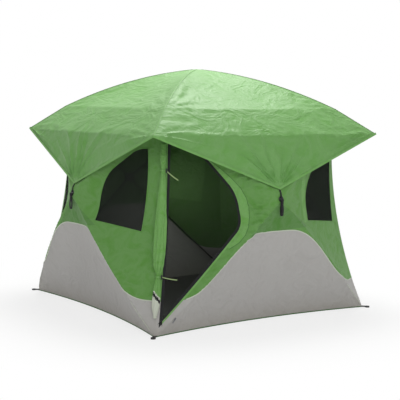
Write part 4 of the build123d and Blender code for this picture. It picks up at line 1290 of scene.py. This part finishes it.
# ties round the rolled flap, each with its toggle and pull strap
tieSet = {
    "clear": 0.0036, "thick": 0.0016, "height": 0.010, "toggleRadius": 0.0045, "toggleLength": 0.030,
    "straps": ((0.110, 0.14), (0.085, 0.75)), "pull": (0.0066, 0.0014), "gap": 0.0015, "toggleOut": 0.011,
    "inset": 0.0012, "dish": 0.0008, "bevel": 0.0005,
}
for k, share in enumerate(tieShares):
    centre, radius = rollCentre(share)
    path, out = [], []
    for angle in np.linspace(math.pi * -0.18, math.pi * 1.18, 46):
        sideways = alongFlap * math.cos(angle) * (radius + tieSet["clear"])
        outwards = outOfFlap * math.sin(angle) * (radius * rollSet["depth"] + tieSet["clear"])
        direction = sideways + outwards
        path.append(centre + direction)
        out.append(direction)
    piece = ribbonMesh(f"flapTie{k}", path, out, tieSet["height"], tieSet["thick"], [hemGreen])
    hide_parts("flap_ties")
    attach(piece, "tent")
    start = centre + alongFlap * (radius + tieSet["clear"] + 0.002) + outOfFlap * 0.003
    length, drop = tieSet["straps"][k]
    path = [
        start + alongFlap * length * t + np.array((0, 0, -length * drop * t - 0.003 * math.sin(math.pi * t)))
        for t in np.linspace(0, 1, 16)
    ]
    piece = ribbonMesh(f"flapTiePull{k}", path, [outOfFlap] * 16, *tieSet["pull"], [tieWebbing])
    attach(piece, "tent")
    beyond = radius + tieSet["clear"] + tieSet["thick"] + tieSet["toggleRadius"] + tieSet["gap"]
    at = centre + alongFlap * beyond + outOfFlap * tieSet["toggleOut"]
    bpy.ops.object.select_all(action="DESELECT")
    bpy.ops.mesh.primitive_cylinder_add(
        vertices=28, radius=tieSet["toggleRadius"], depth=tieSet["toggleLength"], location=tuple(at),
    )
    toggle = bpy.context.object
    toggle.name = f"flapToggle{k}"
    bpy.ops.object.transform_apply(location=True, rotation=True, scale=True)
    bpy.ops.object.mode_set(mode="EDIT")
    bpy.ops.mesh.select_all(action="DESELECT")
    bpy.ops.object.mode_set(mode="OBJECT")
    for face in toggle.data.polygons:
        face.select = abs(face.normal.z) > 0.9
    bpy.ops.object.mode_set(mode="EDIT")
    bpy.ops.mesh.select_mode(type="FACE")
    bpy.ops.mesh.inset(thickness=tieSet["inset"])
    bpy.ops.mesh.extrude_region_shrink_fatten(TRANSFORM_OT_shrink_fatten={"value": -tieSet["dish"]})
    bpy.ops.object.mode_set(mode="OBJECT")
    bevel = toggle.modifiers.new("bevel", "BEVEL")
    bevel.width = tieSet["bevel"]
    bevel.segments = 3
    bevel.limit_method = "ANGLE"
    bpy.ops.object.modifier_apply(modifier="bevel")
    bpy.ops.object.shade_smooth_by_angle(angle=math.radians(40))
    toggle.data.materials.append(blackNylon)
    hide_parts("flap_ties")
    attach(toggle, "tent")
print("stage 8: rolled flap and ties")

# webbing on the wall hubs: pull handles and the straps that hold the fly down
hubSet = {
    "sink": 0.0128, "barOut": 0.0259, "barDrop": 0.009, "barRadius": 0.0043, "handleLength": 0.104,
    "handleWidth": 0.020,
    "handleThick": 0.0022, "strapWidth": 0.014, "strapThick": 0.0018, "studRise": 0.010, "ringRadius": 0.0048,
    "barGap": 0.0003, "strapStart": 0.00555, "strapOut": 0.0170, "strapPath": ((0.024, 0.0168), (0.044, 0.0142)),
    "strapBehind": 0.0039, "strapTuck": (-0.001, 0.020), "loopOut": 0.0179, "loop": (0.0026, 0.0020),
}
hubMiddle = np.array(hubSkin) - np.array(wallNormal) * hubSet["sink"]
hubUp = np.array((0, math.sin(tent["lean"]), math.cos(tent["lean"])))
flapUp, flapOut = np.array((0, 0.2155, 0.9765)), np.array((0, -0.9765, 0.2155))


def byHub(x, up, out):
    return hubMiddle + np.array((1, 0, 0)) * x + hubUp * up + np.array(wallNormal) * out


def waistOf(t):
    # narrow below the bar, wide near the bottom
    return 1 - 0.45 * math.sin(math.pi * min(t * 1.6, 1.0)) + 0.55 * math.sin(math.pi * max(t - 0.35, 0) / 0.65)


for side, turns in turnsOf.items():
    title = side.capitalize()
    bar = byHub(0, -hubSet["barDrop"], hubSet["barOut"])
    inner = hubSet["barRadius"] + hubSet["barGap"]
    path, out = [], []
    for t in np.linspace(0, math.pi, 13):
        path.append(bar + np.array((0, -math.cos(t), math.sin(t))) * inner)
        out.append((0, -math.cos(t), math.sin(t)))
    for t in np.linspace(0, 1, 30)[1:]:
        path.append(bar + np.array((0, inner * waistOf(t), -hubSet["handleLength"] * t)))
        out.append((0, 1, 0))
    bottom = bar + np.array((0, 0, -hubSet["handleLength"]))
    for t in np.linspace(0, math.pi, 13)[1:-1]:
        path.append(bottom + np.array((0, math.cos(t), -math.sin(t))) * inner)
        out.append((0, math.cos(t), -math.sin(t)))
    for t in np.linspace(1, 0, 30)[:-1]:
        path.append(bar + np.array((0, -inner * waistOf(t), -hubSet["handleLength"] * t)))
        out.append((0, -1, 0))
    handle = ribbonMesh(
        "pullHandle" + title, turned(path, turns), turned(out, turns), hubSet["handleWidth"], hubSet["handleThick"],
        [blackWebbing], closed=True,
    )
    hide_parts("pull_handle_" + side)
    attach(handle, "pull_handle_" + side)
    lift = hubSet["studRise"] + hubSet["strapStart"]
    point = np.array((0, -flySet["pointOut"], flySet["pointZ"])) - flapOut * hubSet["strapBehind"]
    corners = [byHub(0, lift, hubSet["strapOut"])] + [byHub(0, up, far) for up, far in hubSet["strapPath"]]
    corners += [point + flapUp * along for along in hubSet["strapTuck"]]
    path = resampled(corners, 0.003, False)
    piece = ribbonMesh(
        "flyStrap" + title, turned(path, turns), turned([(0, -0.98, 0.2)] * len(path), turns), hubSet["strapWidth"],
        hubSet["strapThick"], [blackWebbing],
    )
    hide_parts("fly_straps")
    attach(piece, "tent")
    loop = [
        byHub(
            math.sin(t) * hubSet["ringRadius"], hubSet["studRise"] + math.cos(t) * hubSet["ringRadius"],
            hubSet["loopOut"],
        )
        for t in np.linspace(0, math.tau, 33)[:-1]
    ]
    away = [byHub(math.sin(t), math.cos(t), 0) - hubMiddle for t in np.linspace(0, math.tau, 33)[:-1]]
    piece = ribbonMesh(
        "strapLoop" + title, turned(loop, turns), turned(away, turns), *hubSet["loop"], [blackWebbing], closed=True,
    )
    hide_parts("fly_straps")
    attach(piece, "tent")
print("stage 9: webbing")

# finishes of the frame's own parts
finishes = {
    "pole_": poleGlass, "hub_": blackNylon, "corner_feet": blackNylon, "upper_corner": blackNylon,
    "corner_pins": steelPin,
    "fly_stays": poleGlass, "zip_slider": zipMetal,
}
for nodeName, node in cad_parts.items():
    for start, finish in finishes.items():
        if nodeName.startswith(start):
            if not node.material_slots:
                node.data.materials.append(finish)
            for holder in node.material_slots:
                holder.material = finish
print("stage 10: frame finishes")
